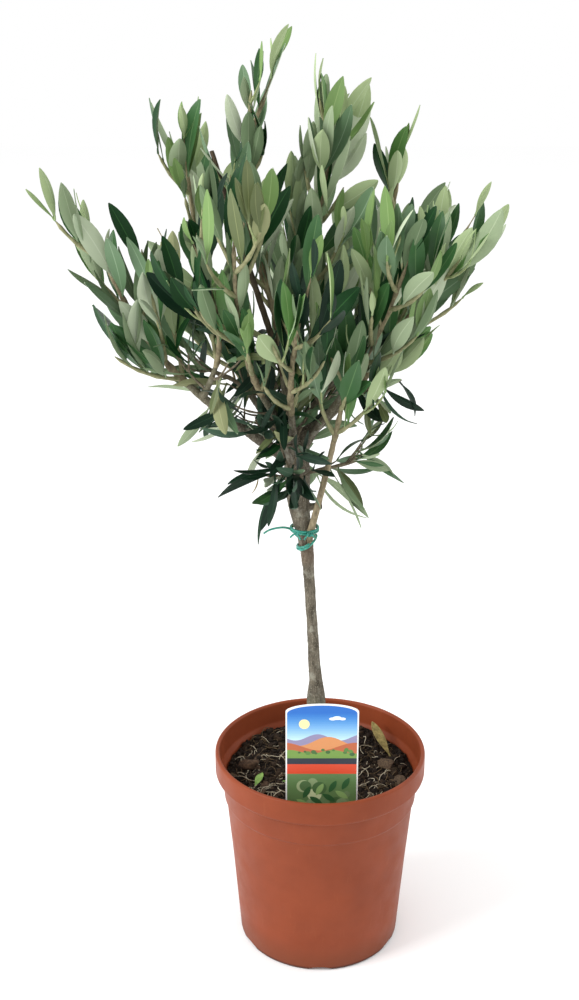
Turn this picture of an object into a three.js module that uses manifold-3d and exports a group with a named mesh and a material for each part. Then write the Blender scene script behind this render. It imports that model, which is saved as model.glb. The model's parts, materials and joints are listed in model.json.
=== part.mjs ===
// Potted olive tree: a young olive grown as a small standard, in a 15 cm nursery pot.
// Millimetres, +Z up. The origin is the centre of the pot's flat underside and -Y is the front.
import * as THREE from 'three';
import { mergeVertices } from 'three/addons/utils/BufferGeometryUtils.js';
import Module from 'manifold-3d';

const wasm = await Module();
wasm.setup();

// Clearance between pieces that touch
const GAP = 0.3;

// Pot
const POT_HEIGHT = 148;
const RIM_RADIUS = 75;
const RIM_DEPTH = 17;
const RIM_THICKNESS = 3.8;
const RIM_EDGE = 1;
const SHOULDER_RADIUS = 70.2;
const SHOULDER_DEPTH = 37;
const WALL_TOP_RADIUS = 67.4;
const BASE_RADIUS = 58;
const BASE_EDGE = 1.4;
const STEP_EDGE = 1.5;
const POT_WALL = 1.8;
const POT_FLOOR = 5;
const POT_SIDES = 36;
const DRAIN_COUNT = 6;
const DRAIN_FIRST_AZIMUTH = 270;
const DRAIN_WIDTH = 17;
const DRAIN_HEIGHT = 3;
const DRAIN_START = 38;
const DRAIN_HOLE_RADIUS = 4;
const DRAIN_HOLE_AT = 46;
const DRAIN_HOLE_SIDES = 8;

// Soil
const SOIL_TOP = 126;
const SOIL_EDGE = 2;
const SOIL_INSET = 0.4;
const SOIL_TOP_INSET = 1.4;
const SOIL_SIDES = 32;

// Plant label
const LABEL_WIDTH = 49;
const LABEL_SHOULDER = 205;
const LABEL_TOP = 211;
const LABEL_FOOT = 100;
const LABEL_THICKNESS = 0.8;
const LABEL_FRONT = -52;
const LABEL_ARC_STEPS = 10;
const LABEL_ARC_FULLNESS = 0.96;

// Trunk stations from the ground to the head: height, sideways lean, radius
const TRUNK_FOOT = SOIL_TOP + GAP;
const TRUNK_STATIONS = [
  [TRUNK_FOOT, 0, 10.5],
  [133, -0.6, 8.2],
  [150, -1.6, 6.9],
  [176, -2.6, 6.7],
  [189, -2.9, 6.4],
  [200, -3.3, 4.7],
  [225, -5, 3.9],
  [265, -7.6, 3.7],
  [290, -9.2, 4.1],
  [306, -10.8, 5],
  [320, -13.6, 6],
  [334, -16, 7.4],
  [350, -16.8, 8.6],
  [364, -17.2, 8.6],
  [376, -18.4, 7.6],
  [386, -19.6, 5.6],
];
const TRUNK_SIDES = 10;
const TRUNK_TOP = TRUNK_STATIONS.at(-1)[0];
const CUT_STUB = { at: 331, azimuth: 352, reach: 15, rise: 2, lift: 0.5, radius: 2.4 };

// Boughs by name. at is a height on the trunk, or a share of the bough it grows on.
// reach and rise go from foot to tip, lift is the share of the rise at the bend,
// and thick holds the radii at foot and tip.
const BOUGH_SIDES = 7;
const BOUGH_RINGS = 3;
const BOUGH_BEND = 0.55;
const BOUGHS = {
  leader: { on: 'trunk', at: TRUNK_TOP, azimuth: 205, reach: 8, rise: 56, lift: 0.5, thick: [4.8, 2.8] },
  left_low: { on: 'trunk', at: 362, azimuth: 191, reach: 71, rise: 58, lift: 0.46, thick: [4, 2.3] },
  right_main: { on: 'trunk', at: 377, azimuth: 349, reach: 42, rise: 42, lift: 0.42, thick: [4.1, 2.5] },
  left_inner: { on: 'trunk', at: 378, azimuth: 148, reach: 34, rise: 36, lift: 0.5, thick: [3.4, 2.3] },
  right_inner: { on: 'trunk', at: 381, azimuth: 32, reach: 34, rise: 40, lift: 0.5, thick: [3.4, 2.3] },
  back_left: { on: 'trunk', at: 368, azimuth: 128, reach: 56, rise: 36, lift: 0.42, thick: [3.3, 2.2] },
  back_right: { on: 'trunk', at: 367, azimuth: 54, reach: 56, rise: 42, lift: 0.42, thick: [3.4, 2.2] },
  back: { on: 'trunk', at: 375, azimuth: 95, reach: 38, rise: 28, lift: 0.45, thick: [3, 2.1] },
  front_left: { on: 'trunk', at: 379, azimuth: 236, reach: 36, rise: 38, lift: 0.45, thick: [2.9, 2.1] },
  front_centre: { on: 'trunk', at: 364, azimuth: 264, reach: 34, rise: 42, lift: 0.45, thick: [2.9, 2.1] },
  front_right: { on: 'trunk', at: 372, azimuth: 326, reach: 38, rise: 46, lift: 0.45, thick: [2.9, 2.1] },
  front_shoot: { on: 'trunk', at: 303, azimuth: 301, reach: 33, rise: 84, lift: 0.5, thick: [2.4, 1.8] },
  left_twig: { on: 'trunk', at: 370, azimuth: 172, reach: 30, rise: 38, lift: 0.5, thick: [2, 1.5] },
  upright: { on: 'leader', at: 0.3, azimuth: 21, reach: 14, rise: 36, lift: 0.35, thick: [3, 2.1] },
  left_side: { on: 'left_low', at: 0.86, azimuth: 300, reach: 20, rise: 24, lift: 0.4, thick: [2, 1.7] },
  right_low: { on: 'right_main', at: 0.8, azimuth: 330, reach: 14, rise: 8, lift: 0.4, thick: [2, 1.6] },
  bare_stick: { on: 'leader', at: 0.6, azimuth: 203, reach: 48, rise: 146, lift: 0.54, thick: [2.2, 1.4] },
};

// Foliage masses by name. Each grows from its bough's tip, or from the trunk at the height given.
// reach and rise lead to the end of its stem, spread is the half width of its space,
// and droop is how far its leaves hang.
const MASSES = {
  leader: { on: 'leader', azimuth: 250, reach: 12, rise: 172, spread: 30, droop: 0 },
  far_left: { on: 'left_low', azimuth: 184, reach: 58, rise: 104, spread: 50, droop: 0 },
  left: { on: 'left_side', azimuth: 244, reach: 24, rise: 80, spread: 44, droop: 0 },
  upper_left: { on: 'left_inner', azimuth: 190, reach: 40, rise: 156, spread: 46, droop: 0 },
  far_right: { on: 'right_main', azimuth: 3, reach: 70, rise: 106, spread: 48, droop: 0 },
  upper_right: { on: 'right_inner', azimuth: 26, reach: 44, rise: 136, spread: 48, droop: 0 },
  upright: { on: 'upright', azimuth: 356, reach: 32, rise: 140, spread: 44, droop: 0 },
  front_left: { on: 'front_left', azimuth: 256, reach: 58, rise: 112, spread: 46, droop: 0 },
  front_centre: { on: 'front_centre', azimuth: 280, reach: 64, rise: 98, spread: 46, droop: 0 },
  front_right: { on: 'front_right', azimuth: 302, reach: 62, rise: 92, spread: 46, droop: 0 },
  back: { on: 'back', azimuth: 90, reach: 66, rise: 100, spread: 50, droop: 0 },
  back_left: { on: 'back_left', azimuth: 140, reach: 80, rise: 98, spread: 52, droop: 0 },
  back_right: { on: 'back_right', azimuth: 40, reach: 70, rise: 86, spread: 52, droop: 0 },
  right_low: { on: 'right_low', azimuth: 352, reach: 28, rise: 22, spread: 38, droop: 0 },
  front_shoot: { on: 'front_shoot', azimuth: 290, reach: 28, rise: 64, spread: 42, droop: 0 },
  low_left: { on: 'left_twig', azimuth: 190, reach: 34, rise: 20, spread: 40, droop: 0 },
  low_right: { on: 'trunk', at: 354, azimuth: 350, reach: 40, rise: 12, spread: 44, droop: 0.3 },
  low_front: { on: 'trunk', at: 350, azimuth: 262, reach: 38, rise: 20, spread: 44, droop: 0.2 },
  low_back: { on: 'trunk', at: 356, azimuth: 79, reach: 36, rise: 24, spread: 42, droop: 0.1 },
  low_hanging: { on: 'trunk', at: 350, azimuth: 196, reach: 27, rise: 8, spread: 46, droop: 0.9 },
};

// Growth rule: the number stream
const SEED = 17;
const SEED_STEP = 7919;

// Growth rule: stems and the shoots on them. Ranges are lowest and highest.
const TWIG_SIDES = 3;
const STEM_RINGS = 4;
const STEM_BEND = 0.4;
const STEM_TIP_RADIUS = 1;
const STEM_NODE_GAP = 21;
const STEM_FIRST_NODE = 5;
const BUSHY_LENGTH = 60;
const SHOOT_RINGS = 2;
const SHOOT_RADII = [1.4, 0.95];
const SHOOT_NODE_GAP = 14;
const SHOOT_FIRST_NODE = 10;
const SHOOT_CHANCE = 0.6;
const SHOOT_ANGLE = 44;
const SHOOT_SHORTENING = 0.35;
const SHOOT_SIZES = [0.85, 1.2];
const SHOOT_TRIES = [1, 0.72, 0.5];
const SHOOT_SWEEP = { bend: 0.5, outward: 0.78, forward: 0.2, upward: 0.16 };
const SHOOT_CHECKS = [0.4, 0.7, 1];
const NODE_SPACING = [0.9, 1.1];
const NODE_TURN = 0.3;
const PAIR_STAGGER = 1.4;

// Growth rule: leaves. A try is a share of the leaning angle and a share of the length.
const LEAF_LENGTH = 47;
const LEAF_SIZES = [0.82, 1.1];
const LEAF_TIP_SHRINK = 0.3;
const LEAF_WIDTH_SHARE = 0.34;
const LEAF_WIDTHS = [0.85, 1.1];
const LEAF_WIDEST = 0.44;
const LEAF_THICKNESS = 1.3;
const LEAF_ANGLES = [48, 26];
const LEAF_ANGLE_SHARES = [0.75, 1.25];
const LEAF_ROLL = 1.1;
const LEAF_TRIES = [[1, 1], [0.6, 1], [1.3, 0.85], [0.35, 0.8]];
const LEAF_CHECKS = [[0.25, 0], [0.5, 0], [0.75, 0], [1, 0], [LEAF_WIDEST, 0.5], [LEAF_WIDEST, -0.5]];
const END_LEAF = { lean: 0.08, share: 0.9 };

// Growth rule: what a twig or a leaf keeps clear of
const LEAF_SPACING = 3.4;
const LIMB_CLEARANCE = 1.4;
const SPACE_MARGIN = 1.8;
const SMOOTHING = 0.04;

// Ties round the trunk under its head
const TIE_RADIUS = 0.9;
const TIE_SIDES = 4;
const TIE_STEPS = 14;
const TIE_UPPER = { at: 317, shift: 1.8, azimuth: 301, radius: 9.2, tilt: 4 };
const TIE_LOWER = { at: 306, shift: 0.6, azimuth: 330, radius: 7.6, tilt: -32 };
const TIE_TAIL = { azimuth: 194, from: 9, reach: 28, rise: 3, fall: -1.5, rings: 3 };
const TIE_KNOTS = { azimuths: [238, 290], outward: 0.5, below: 1, radius: 1.8 };

const UP = new THREE.Vector3(0, 0, 1);
const SIDE = new THREE.Vector3(1, 0, 0);

const material = (color, roughness) => new THREE.MeshStandardMaterial({ color, roughness, metalness: 0 });
const terracotta = material('#b0654a', 0.55);
const peat = material('#33261d', 0.95);
const card = material('#2f7fd0', 0.4);
const bark = material('#8a7d6c', 0.85);
const leafGreen = material('#4d7048', 0.6);
const tieGreen = material('#2f9c86', 0.45);

// Seeded number stream from 0 to 1, so that the same seed always grows the same tree
function seeded(seed) {
  let state = seed >>> 0;
  return () => {
    state = (Math.imul(state, 1664525) + 1013904223) >>> 0;
    return state / 4294967296;
  };
}

const radians = (degrees) => (degrees * Math.PI) / 180;

// Unit vector for an azimuth in degrees, with 0 to the right and 270 to the front
const heading = (azimuth) => new THREE.Vector3(Math.cos(radians(azimuth)), Math.sin(radians(azimuth)), 0);

// Solid enclosed by a geometry's faces
function solid(geometry) {
  const bare = geometry.index ? geometry.toNonIndexed() : geometry.clone();
  bare.deleteAttribute('normal');
  bare.deleteAttribute('uv');
  const merged = mergeVertices(bare, 1e-4);
  const mesh = new wasm.Mesh({
    numProp: 3,
    vertProperties: new Float32Array(merged.attributes.position.array),
    triVerts: new Uint32Array(merged.index.array),
  });
  return new wasm.Manifold(mesh);
}

// Geometry of a solid's faces
function geometryOf(shape) {
  const mesh = shape.getMesh();
  const geometry = new THREE.BufferGeometry();
  geometry.setAttribute('position', new THREE.BufferAttribute(mesh.vertProperties, 3));
  geometry.setIndex(new THREE.BufferAttribute(mesh.triVerts, 1));
  geometry.computeVertexNormals();
  return geometry;
}

// Largest body of a shape, without loose scraps
function mainBody(shape) {
  const bodies = shape.decompose();
  return bodies.reduce((best, body) => (body.volume() > best.volume() ? body : best));
}

// Solid turned about the upright axis from a list of radii and heights
function turned(outline, sides) {
  const profile = outline.map(([radius, height]) => new THREE.Vector2(radius, height));
  return new THREE.LatheGeometry(profile, sides).rotateX(Math.PI / 2);
}

// Round limb along a curve: a turned blank of equal rings, bent ring by ring
function limb(curve, radiusAt, sides, rings) {
  const profile = [new THREE.Vector2(0, 0)];
  for (let ring = 0; ring <= rings; ring++) {
    profile.push(new THREE.Vector2(1, ring));
  }
  profile.push(new THREE.Vector2(0, rings));
  const blank = new THREE.LatheGeometry(profile, sides);
  const frames = curve.computeFrenetFrames(rings, false);
  const place = blank.attributes.position;
  for (let i = 0; i < place.count; i++) {
    const ring = Math.round(place.getY(i));
    const radius = radiusAt(ring / rings);
    const point = curve.getPointAt(ring / rings)
      .addScaledVector(frames.normals[ring], place.getZ(i) * radius)
      .addScaledVector(frames.binormals[ring], place.getX(i) * radius);
    place.setXYZ(i, point.x, point.y, point.z);
  }
  return solid(blank);
}

const tapered = ([foot, tip], grow = 0) => (share) => foot + (tip - foot) * share + grow;

// Trunk axis and radius at a height
function trunkAt(height) {
  const above = Math.max(1, TRUNK_STATIONS.findIndex(([station]) => station >= height));
  const [low, high] = [TRUNK_STATIONS[above - 1], TRUNK_STATIONS[above]];
  const share = (height - low[0]) / (high[0] - low[0]);
  const mix = (column) => low[column] + (high[column] - low[column]) * share;
  return { point: new THREE.Vector3(mix(1), 0, height), radius: mix(2) };
}

// Trunk turned from its stations, then leaned over station by station
function trunkSolid(grow = 0) {
  const outline = TRUNK_STATIONS.map(([height, , radius]) => [radius + grow, height]);
  const blank = turned([[0, TRUNK_FOOT], ...outline, [0, TRUNK_TOP + grow]], TRUNK_SIDES);
  const place = blank.attributes.position;
  for (let i = 0; i < place.count; i++) {
    const height = Math.min(place.getZ(i), TRUNK_TOP);
    place.setX(i, place.getX(i) + trunkAt(height).point.x);
  }
  return solid(blank);
}

// Curve of a bough from its foot
function bowed(foot, { azimuth, reach, rise, lift }) {
  const tip = foot.clone().addScaledVector(heading(azimuth), reach);
  tip.z += rise;
  const bend = foot.clone().addScaledVector(heading(azimuth), reach * BOUGH_BEND);
  bend.z += rise * lift;
  return new THREE.QuadraticBezierCurve3(foot, bend, tip);
}

// Point and direction at a share of the way along a bowed curve
function along(curve, share) {
  const rest = 1 - share;
  const point = curve.v0.clone().multiplyScalar(rest * rest)
    .addScaledVector(curve.v1, 2 * rest * share)
    .addScaledVector(curve.v2, share * share);
  const direction = curve.v1.clone().sub(curve.v0).multiplyScalar(rest)
    .addScaledVector(curve.v2.clone().sub(curve.v1), share)
    .normalize();
  return { point, direction };
}

// Trunk with the short stub of a branch that was cut off
function trunkWithStub() {
  const curve = bowed(trunkAt(CUT_STUB.at).point, CUT_STUB);
  return trunkSolid().add(limb(curve, () => CUT_STUB.radius, BOUGH_SIDES, 1));
}

// Curves of all boughs, each starting on the trunk's axis or on its parent's
function planBoughs() {
  const curves = {};
  for (const [name, bough] of Object.entries(BOUGHS)) {
    const foot = bough.on === 'trunk' ? trunkAt(bough.at).point : along(curves[bough.on], bough.at).point;
    curves[name] = bowed(foot, bough);
  }
  return curves;
}

// Boughs, each cut clear of the trunk and of the boughs before it
function growBoughs(curves) {
  const boughs = [];
  let taken = trunkSolid(GAP);
  for (const [name, { thick }] of Object.entries(BOUGHS)) {
    const body = limb(curves[name], tapered(thick), BOUGH_SIDES, BOUGH_RINGS);
    boughs.push([name, mainBody(body.subtract(taken))]);
    taken = taken.add(limb(curves[name], tapered(thick, GAP), BOUGH_SIDES, BOUGH_RINGS));
  }
  return boughs;
}

// Straight stretches of every limb with their radii, for telling what a leaf would touch
function limbStretches(curves) {
  const stretches = [];
  for (let i = 1; i < TRUNK_STATIONS.length; i++) {
    const [low, high] = [trunkAt(TRUNK_STATIONS[i - 1][0]), trunkAt(TRUNK_STATIONS[i][0])];
    stretches.push({ from: low.point, to: high.point, radius: Math.max(low.radius, high.radius) });
  }
  for (const [name, { thick }] of Object.entries(BOUGHS)) {
    for (let i = 0; i < BOUGH_RINGS; i++) {
      const from = along(curves[name], i / BOUGH_RINGS).point;
      const to = along(curves[name], (i + 1) / BOUGH_RINGS).point;
      stretches.push({ from, to, radius: tapered(thick)(i / BOUGH_RINGS) });
    }
  }
  return stretches;
}

function distanceTo(point, { from, to }) {
  const line = to.clone().sub(from);
  const share = THREE.MathUtils.clamp(point.clone().sub(from).dot(line) / line.lengthSq(), 0, 1);
  return from.clone().addScaledVector(line, share).distanceTo(point);
}

const nearest = (point, stretches) => Math.min(...stretches.map((stretch) => distanceTo(point, stretch)));

// Where a mass starts: off its bough's tip, or on the trunk's axis with the trunk's radius to clear
function massStart({ on, at }, curves) {
  if (on === 'trunk') {
    const { point, radius } = trunkAt(at);
    return { foot: point, clear: radius, stemRadius: SHOOT_RADII[0] };
  }
  const { point, direction } = along(curves[on], 1);
  const foot = point.addScaledVector(direction, GAP);
  return { foot, first: direction, clear: 0, stemRadius: BOUGHS[on].thick[1] };
}

// Stems of all masses. Each mass owns the room that lies nearest to its own stem.
function planMasses(curves) {
  return Object.entries(MASSES).map(([name, mass], index) => {
    const start = massStart(mass, curves);
    const tip = start.foot.clone().addScaledVector(heading(mass.azimuth), mass.reach);
    tip.z += mass.rise;
    const straight = tip.clone().sub(start.foot);
    const length = straight.length();
    const first = start.first ?? straight.normalize();
    const bend = start.foot.clone().addScaledVector(first, length * STEM_BEND);
    const curve = new THREE.QuadraticBezierCurve3(start.foot, bend, tip);
    const stretches = [];
    for (let i = 0; i < STEM_RINGS; i++) {
      const [from, to] = [along(curve, i / STEM_RINGS).point, along(curve, (i + 1) / STEM_RINGS).point];
      stretches.push({ from, to });
    }
    return { name, ...mass, ...start, curve, length, stretches, random: seeded(SEED + index * SEED_STEP) };
  });
}

// Whether every point lies in the mass's own space and clear of all limbs
function fits(points, mass, masses, limbs) {
  return points.every((point) => {
    const own = nearest(point, mass.stretches);
    return own < mass.spread
      && masses.every((other) => other === mass || nearest(point, other.stretches) > own + SPACE_MARGIN)
      && limbs.every((stretch) => distanceTo(point, stretch) > stretch.radius + LIMB_CLEARANCE);
  });
}

// Direction that leans away from an axis by an angle, towards a turn about it
function leaning(axis, turn, angle) {
  const level = new THREE.Vector3().crossVectors(axis, Math.abs(axis.z) < 0.95 ? UP : SIDE).normalize();
  const steep = new THREE.Vector3().crossVectors(level, axis);
  return axis.clone().multiplyScalar(Math.cos(angle))
    .addScaledVector(level, Math.sin(angle) * Math.cos(turn))
    .addScaledVector(steep, Math.sin(angle) * Math.sin(turn));
}

// Blade frame: along from root to tip, across its width, and through its thickness
function bladeFrame(root, direction, axis, roll, length, width) {
  const across = new THREE.Vector3().crossVectors(direction, axis).normalize();
  across.applyAxisAngle(direction, roll);
  const through = new THREE.Vector3().crossVectors(direction, across);
  return { root, direction, across, through, length, width };
}

// Points that stand for a blade when its room is checked
function bladePoints({ root, direction, across, length, width }) {
  return LEAF_CHECKS.map(([far, wide]) => root.clone()
    .addScaledVector(direction, length * far)
    .addScaledVector(across, width * wide));
}

// Leaf blade of eight faces between its root, its tip, two edges, its upper and its under side
function bladeSolid({ root, direction, across, through, length, width }) {
  const blade = new THREE.OctahedronGeometry(1);
  const place = blade.attributes.position;
  for (let i = 0; i < place.count; i++) {
    const far = [0, LEAF_WIDEST, 1][Math.round(place.getX(i)) + 1];
    const point = root.clone()
      .addScaledVector(direction, length * far)
      .addScaledVector(across, (place.getY(i) * width) / 2)
      .addScaledVector(through, (place.getZ(i) * LEAF_THICKNESS) / 2);
    place.setXYZ(i, point.x, point.y, point.z);
  }
  return solid(blade);
}

// Mass: a stem with side shoots, leaves in pairs turned a quarter at each node, and a leaf at each tip
function growMass(mass, masses, limbs) {
  const { random } = mass;
  const between = ([low, high]) => low + (high - low) * random();
  const pieces = [limb(mass.curve, tapered([mass.stemRadius, STEM_TIP_RADIUS]), TWIG_SIDES, STEM_RINGS)];
  const blades = [];

  const crowded = (points) => blades.some((other) => other.some((spot) =>
    points.some((point) => point.distanceTo(spot) < LEAF_SPACING)));

  function addLeaf(point, axis, turn, share) {
    const size = between(LEAF_SIZES) * (1 - LEAF_TIP_SHRINK * share);
    const angle = radians(tapered(LEAF_ANGLES)(share)) * between(LEAF_ANGLE_SHARES);
    const roll = between([-LEAF_ROLL, LEAF_ROLL]);
    const width = LEAF_LENGTH * LEAF_WIDTH_SHARE * size * between(LEAF_WIDTHS);
    for (const [lean, scale] of LEAF_TRIES) {
      const direction = leaning(axis, turn, angle * lean);
      direction.z -= mass.droop;
      direction.normalize();
      const frame = bladeFrame(point, direction, axis, roll, LEAF_LENGTH * size * scale, width);
      const points = bladePoints(frame);
      if (!crowded(points) && fits(points, mass, masses, limbs)) {
        blades.push(points);
        pieces.push(bladeSolid(frame));
        return;
      }
    }
  }

  function addShoot(point, axis, turn, length) {
    const outward = leaning(axis, turn, radians(SHOOT_ANGLE));
    for (const scale of SHOOT_TRIES) {
      const reach = length * scale;
      const bend = point.clone().addScaledVector(outward, reach * SHOOT_SWEEP.bend);
      const tip = point.clone()
        .addScaledVector(outward, reach * SHOOT_SWEEP.outward)
        .addScaledVector(axis, reach * SHOOT_SWEEP.forward);
      tip.z += reach * SHOOT_SWEEP.upward * (1 - 2 * mass.droop);
      const curve = new THREE.QuadraticBezierCurve3(point, bend, tip);
      if (fits(SHOOT_CHECKS.map((share) => along(curve, share).point), mass, masses, limbs)) {
        pieces.push(limb(curve, tapered(SHOOT_RADII), TWIG_SIDES, SHOOT_RINGS));
        addLeaves(curve, reach, SHOOT_FIRST_NODE, SHOOT_NODE_GAP);
        return true;
      }
    }
    return false;
  }

  function addLeaves(curve, length, first, gap) {
    const nodes = Math.max(1, Math.floor((length - first - gap / 2) / gap) + 1);
    const twist = between([0, Math.PI]);
    for (let node = 0; node < nodes; node++) {
      for (const half of [0, 1]) {
        const at = first + node * gap * between(NODE_SPACING) + half * PAIR_STAGGER;
        const share = Math.min(1, at / length);
        const { point, direction } = along(curve, share);
        const turn = twist + (node / 2 + half) * Math.PI + between([-NODE_TURN, NODE_TURN]);
        const shoots = gap === STEM_NODE_GAP && random() < SHOOT_CHANCE;
        const reach = mass.spread * (1 - SHOOT_SHORTENING * share) * between(SHOOT_SIZES);
        if (!shoots || !addShoot(point, direction, turn, reach)) {
          addLeaf(point, direction, turn, share);
        }
      }
    }
    const end = along(curve, 1);
    addLeaf(end.point, leaning(end.direction, twist, END_LEAF.lean), twist, END_LEAF.share);
  }

  const gap = mass.length > BUSHY_LENGTH ? STEM_NODE_GAP : SHOOT_NODE_GAP;
  addLeaves(mass.curve, mass.length, STEM_FIRST_NODE + mass.clear, gap);
  const grown = wasm.Manifold.union(pieces);
  const body = mass.on === 'trunk' ? grown.subtract(trunkSolid(GAP)) : grown;
  return mainBody(body.simplify(SMOOTHING));
}

// Outer and inner outline of the pot, as radii and heights
function potOutline() {
  const rimFoot = POT_HEIGHT - RIM_DEPTH;
  const shoulderFoot = POT_HEIGHT - SHOULDER_DEPTH;
  return [
    [0, 0],
    [BASE_RADIUS - RIM_EDGE, 0],
    [BASE_RADIUS, BASE_EDGE],
    [WALL_TOP_RADIUS, shoulderFoot],
    [SHOULDER_RADIUS - BASE_EDGE, shoulderFoot + BASE_EDGE],
    [SHOULDER_RADIUS, rimFoot - STEP_EDGE],
    [RIM_RADIUS - RIM_EDGE, rimFoot],
    [RIM_RADIUS, rimFoot + STEP_EDGE],
    [RIM_RADIUS, POT_HEIGHT - RIM_EDGE],
    [RIM_RADIUS - RIM_EDGE, POT_HEIGHT],
    [RIM_RADIUS - RIM_THICKNESS + RIM_EDGE * 1.5, POT_HEIGHT],
    [RIM_RADIUS - RIM_THICKNESS + RIM_EDGE / 2, POT_HEIGHT - RIM_EDGE],
    [RIM_RADIUS - RIM_THICKNESS, rimFoot + STEP_EDGE],
    [SHOULDER_RADIUS - POT_WALL, rimFoot - STEP_EDGE * 2],
    [WALL_TOP_RADIUS - POT_WALL, shoulderFoot - RIM_EDGE],
    [BASE_RADIUS - POT_WALL, POT_FLOOR],
    [0, POT_FLOOR],
  ];
}

// Channel under the floor and the hole above it, laid out along +X
function drainSolid() {
  const channel = new THREE.BoxGeometry(BASE_RADIUS, DRAIN_WIDTH, DRAIN_HEIGHT * 2)
    .translate(DRAIN_START + BASE_RADIUS / 2, 0, 0);
  const hole = new THREE.CylinderGeometry(DRAIN_HOLE_RADIUS, DRAIN_HOLE_RADIUS, POT_FLOOR * 4, DRAIN_HOLE_SIDES)
    .rotateX(Math.PI / 2)
    .translate(DRAIN_HOLE_AT, 0, 0);
  return solid(channel).add(solid(hole));
}

function potSolid() {
  let pot = solid(turned(potOutline(), POT_SIDES));
  const drain = drainSolid();
  for (let i = 0; i < DRAIN_COUNT; i++) {
    pot = pot.subtract(drain.rotate([0, 0, DRAIN_FIRST_AZIMUTH + (360 / DRAIN_COUNT) * i]));
  }
  return pot;
}

// Label: an upright plate with a low arch on top
function labelSolid(grow = 0) {
  const half = LABEL_WIDTH / 2 + grow;
  const rise = LABEL_TOP - LABEL_SHOULDER;
  const outline = new THREE.Shape();
  outline.moveTo(-half, LABEL_FOOT - grow);
  outline.lineTo(half, LABEL_FOOT - grow);
  for (let i = 0; i <= LABEL_ARC_STEPS; i++) {
    const across = 1 - (2 * i) / LABEL_ARC_STEPS;
    outline.lineTo(half * across, LABEL_SHOULDER + rise * Math.sqrt(1 - across * across * LABEL_ARC_FULLNESS));
  }
  outline.closePath();
  const depth = LABEL_THICKNESS + grow * 2;
  const plate = new THREE.ExtrudeGeometry(outline, { depth, bevelEnabled: false });
  return solid(plate.rotateX(Math.PI / 2).translate(0, LABEL_FRONT + depth / 2, 0));
}

// Soil fills the pot to about 2 cm below its rim, with a slot for the label
function soilSolid() {
  const inset = POT_WALL + GAP;
  const outline = [
    [0, POT_FLOOR + GAP],
    [BASE_RADIUS - inset - SOIL_INSET, POT_FLOOR + GAP],
    [WALL_TOP_RADIUS - inset - SOIL_INSET, POT_HEIGHT - SHOULDER_DEPTH - RIM_EDGE],
    [SHOULDER_RADIUS - inset - SOIL_TOP_INSET, SOIL_TOP - SOIL_EDGE],
    [SHOULDER_RADIUS - inset - SOIL_TOP_INSET - RIM_EDGE, SOIL_TOP],
    [0, SOIL_TOP],
  ];
  return solid(turned(outline, SOIL_SIDES)).subtract(labelSolid(GAP));
}

// Centre of a tie, moved off the trunk's axis to take in the shoot beside it
const tieCentre = ({ at, azimuth, shift }) => trunkAt(at).point.addScaledVector(heading(azimuth), shift);

// Tie: a soft ring round the trunk
function tieRing(tie) {
  const centre = tieCentre(tie);
  const ring = new THREE.TorusGeometry(tie.radius, TIE_RADIUS, TIE_SIDES, TIE_STEPS);
  return solid(ring.rotateY(radians(tie.tilt)).translate(centre.x, centre.y, centre.z));
}

// Loose end of the upper tie
function tieTail() {
  const out = heading(TIE_TAIL.azimuth);
  const from = tieCentre(TIE_UPPER).addScaledVector(out, TIE_TAIL.from);
  const bend = from.clone().addScaledVector(out, TIE_TAIL.reach / 2);
  const to = from.clone().addScaledVector(out, TIE_TAIL.reach);
  bend.z += TIE_TAIL.rise;
  to.z += TIE_TAIL.fall;
  return limb(new THREE.QuadraticBezierCurve3(from, bend, to), () => TIE_RADIUS, TIE_SIDES, TIE_TAIL.rings);
}

function tieUpperSolid() {
  let tie = tieRing(TIE_UPPER).add(tieTail());
  for (const azimuth of TIE_KNOTS.azimuths) {
    const place = tieCentre(TIE_UPPER).addScaledVector(heading(azimuth), TIE_UPPER.radius + TIE_KNOTS.outward);
    const knot = new THREE.IcosahedronGeometry(TIE_KNOTS.radius, 0)
      .translate(place.x, place.y, place.z - TIE_KNOTS.below);
    tie = tie.add(solid(knot));
  }
  return tie;
}

// Assembly
const plant = new THREE.Group();
plant.name = 'potted_olive_tree';

function addNode(name, shape, finish) {
  const mesh = new THREE.Mesh(geometryOf(shape), finish);
  mesh.name = name;
  plant.add(mesh);
}

addNode('pot', potSolid(), terracotta);
addNode('soil', soilSolid(), peat);
addNode('label', labelSolid(), card);
addNode('trunk', trunkWithStub(), bark);
addNode('tie_upper', tieUpperSolid(), tieGreen);
addNode('tie_lower', tieRing(TIE_LOWER), tieGreen);

const curves = planBoughs();
for (const [name, shape] of growBoughs(curves)) {
  addNode(`bough_${name}`, shape, bark);
}

const limbs = limbStretches(curves);
const masses = planMasses(curves);
for (const mass of masses) {
  addNode(`mass_${mass.name}`, growMass(mass, masses, limbs), leafGreen);
}

export default plant;
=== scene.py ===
import json
import math

import bmesh
import bpy
import numpy as np
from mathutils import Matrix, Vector, noise

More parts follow.
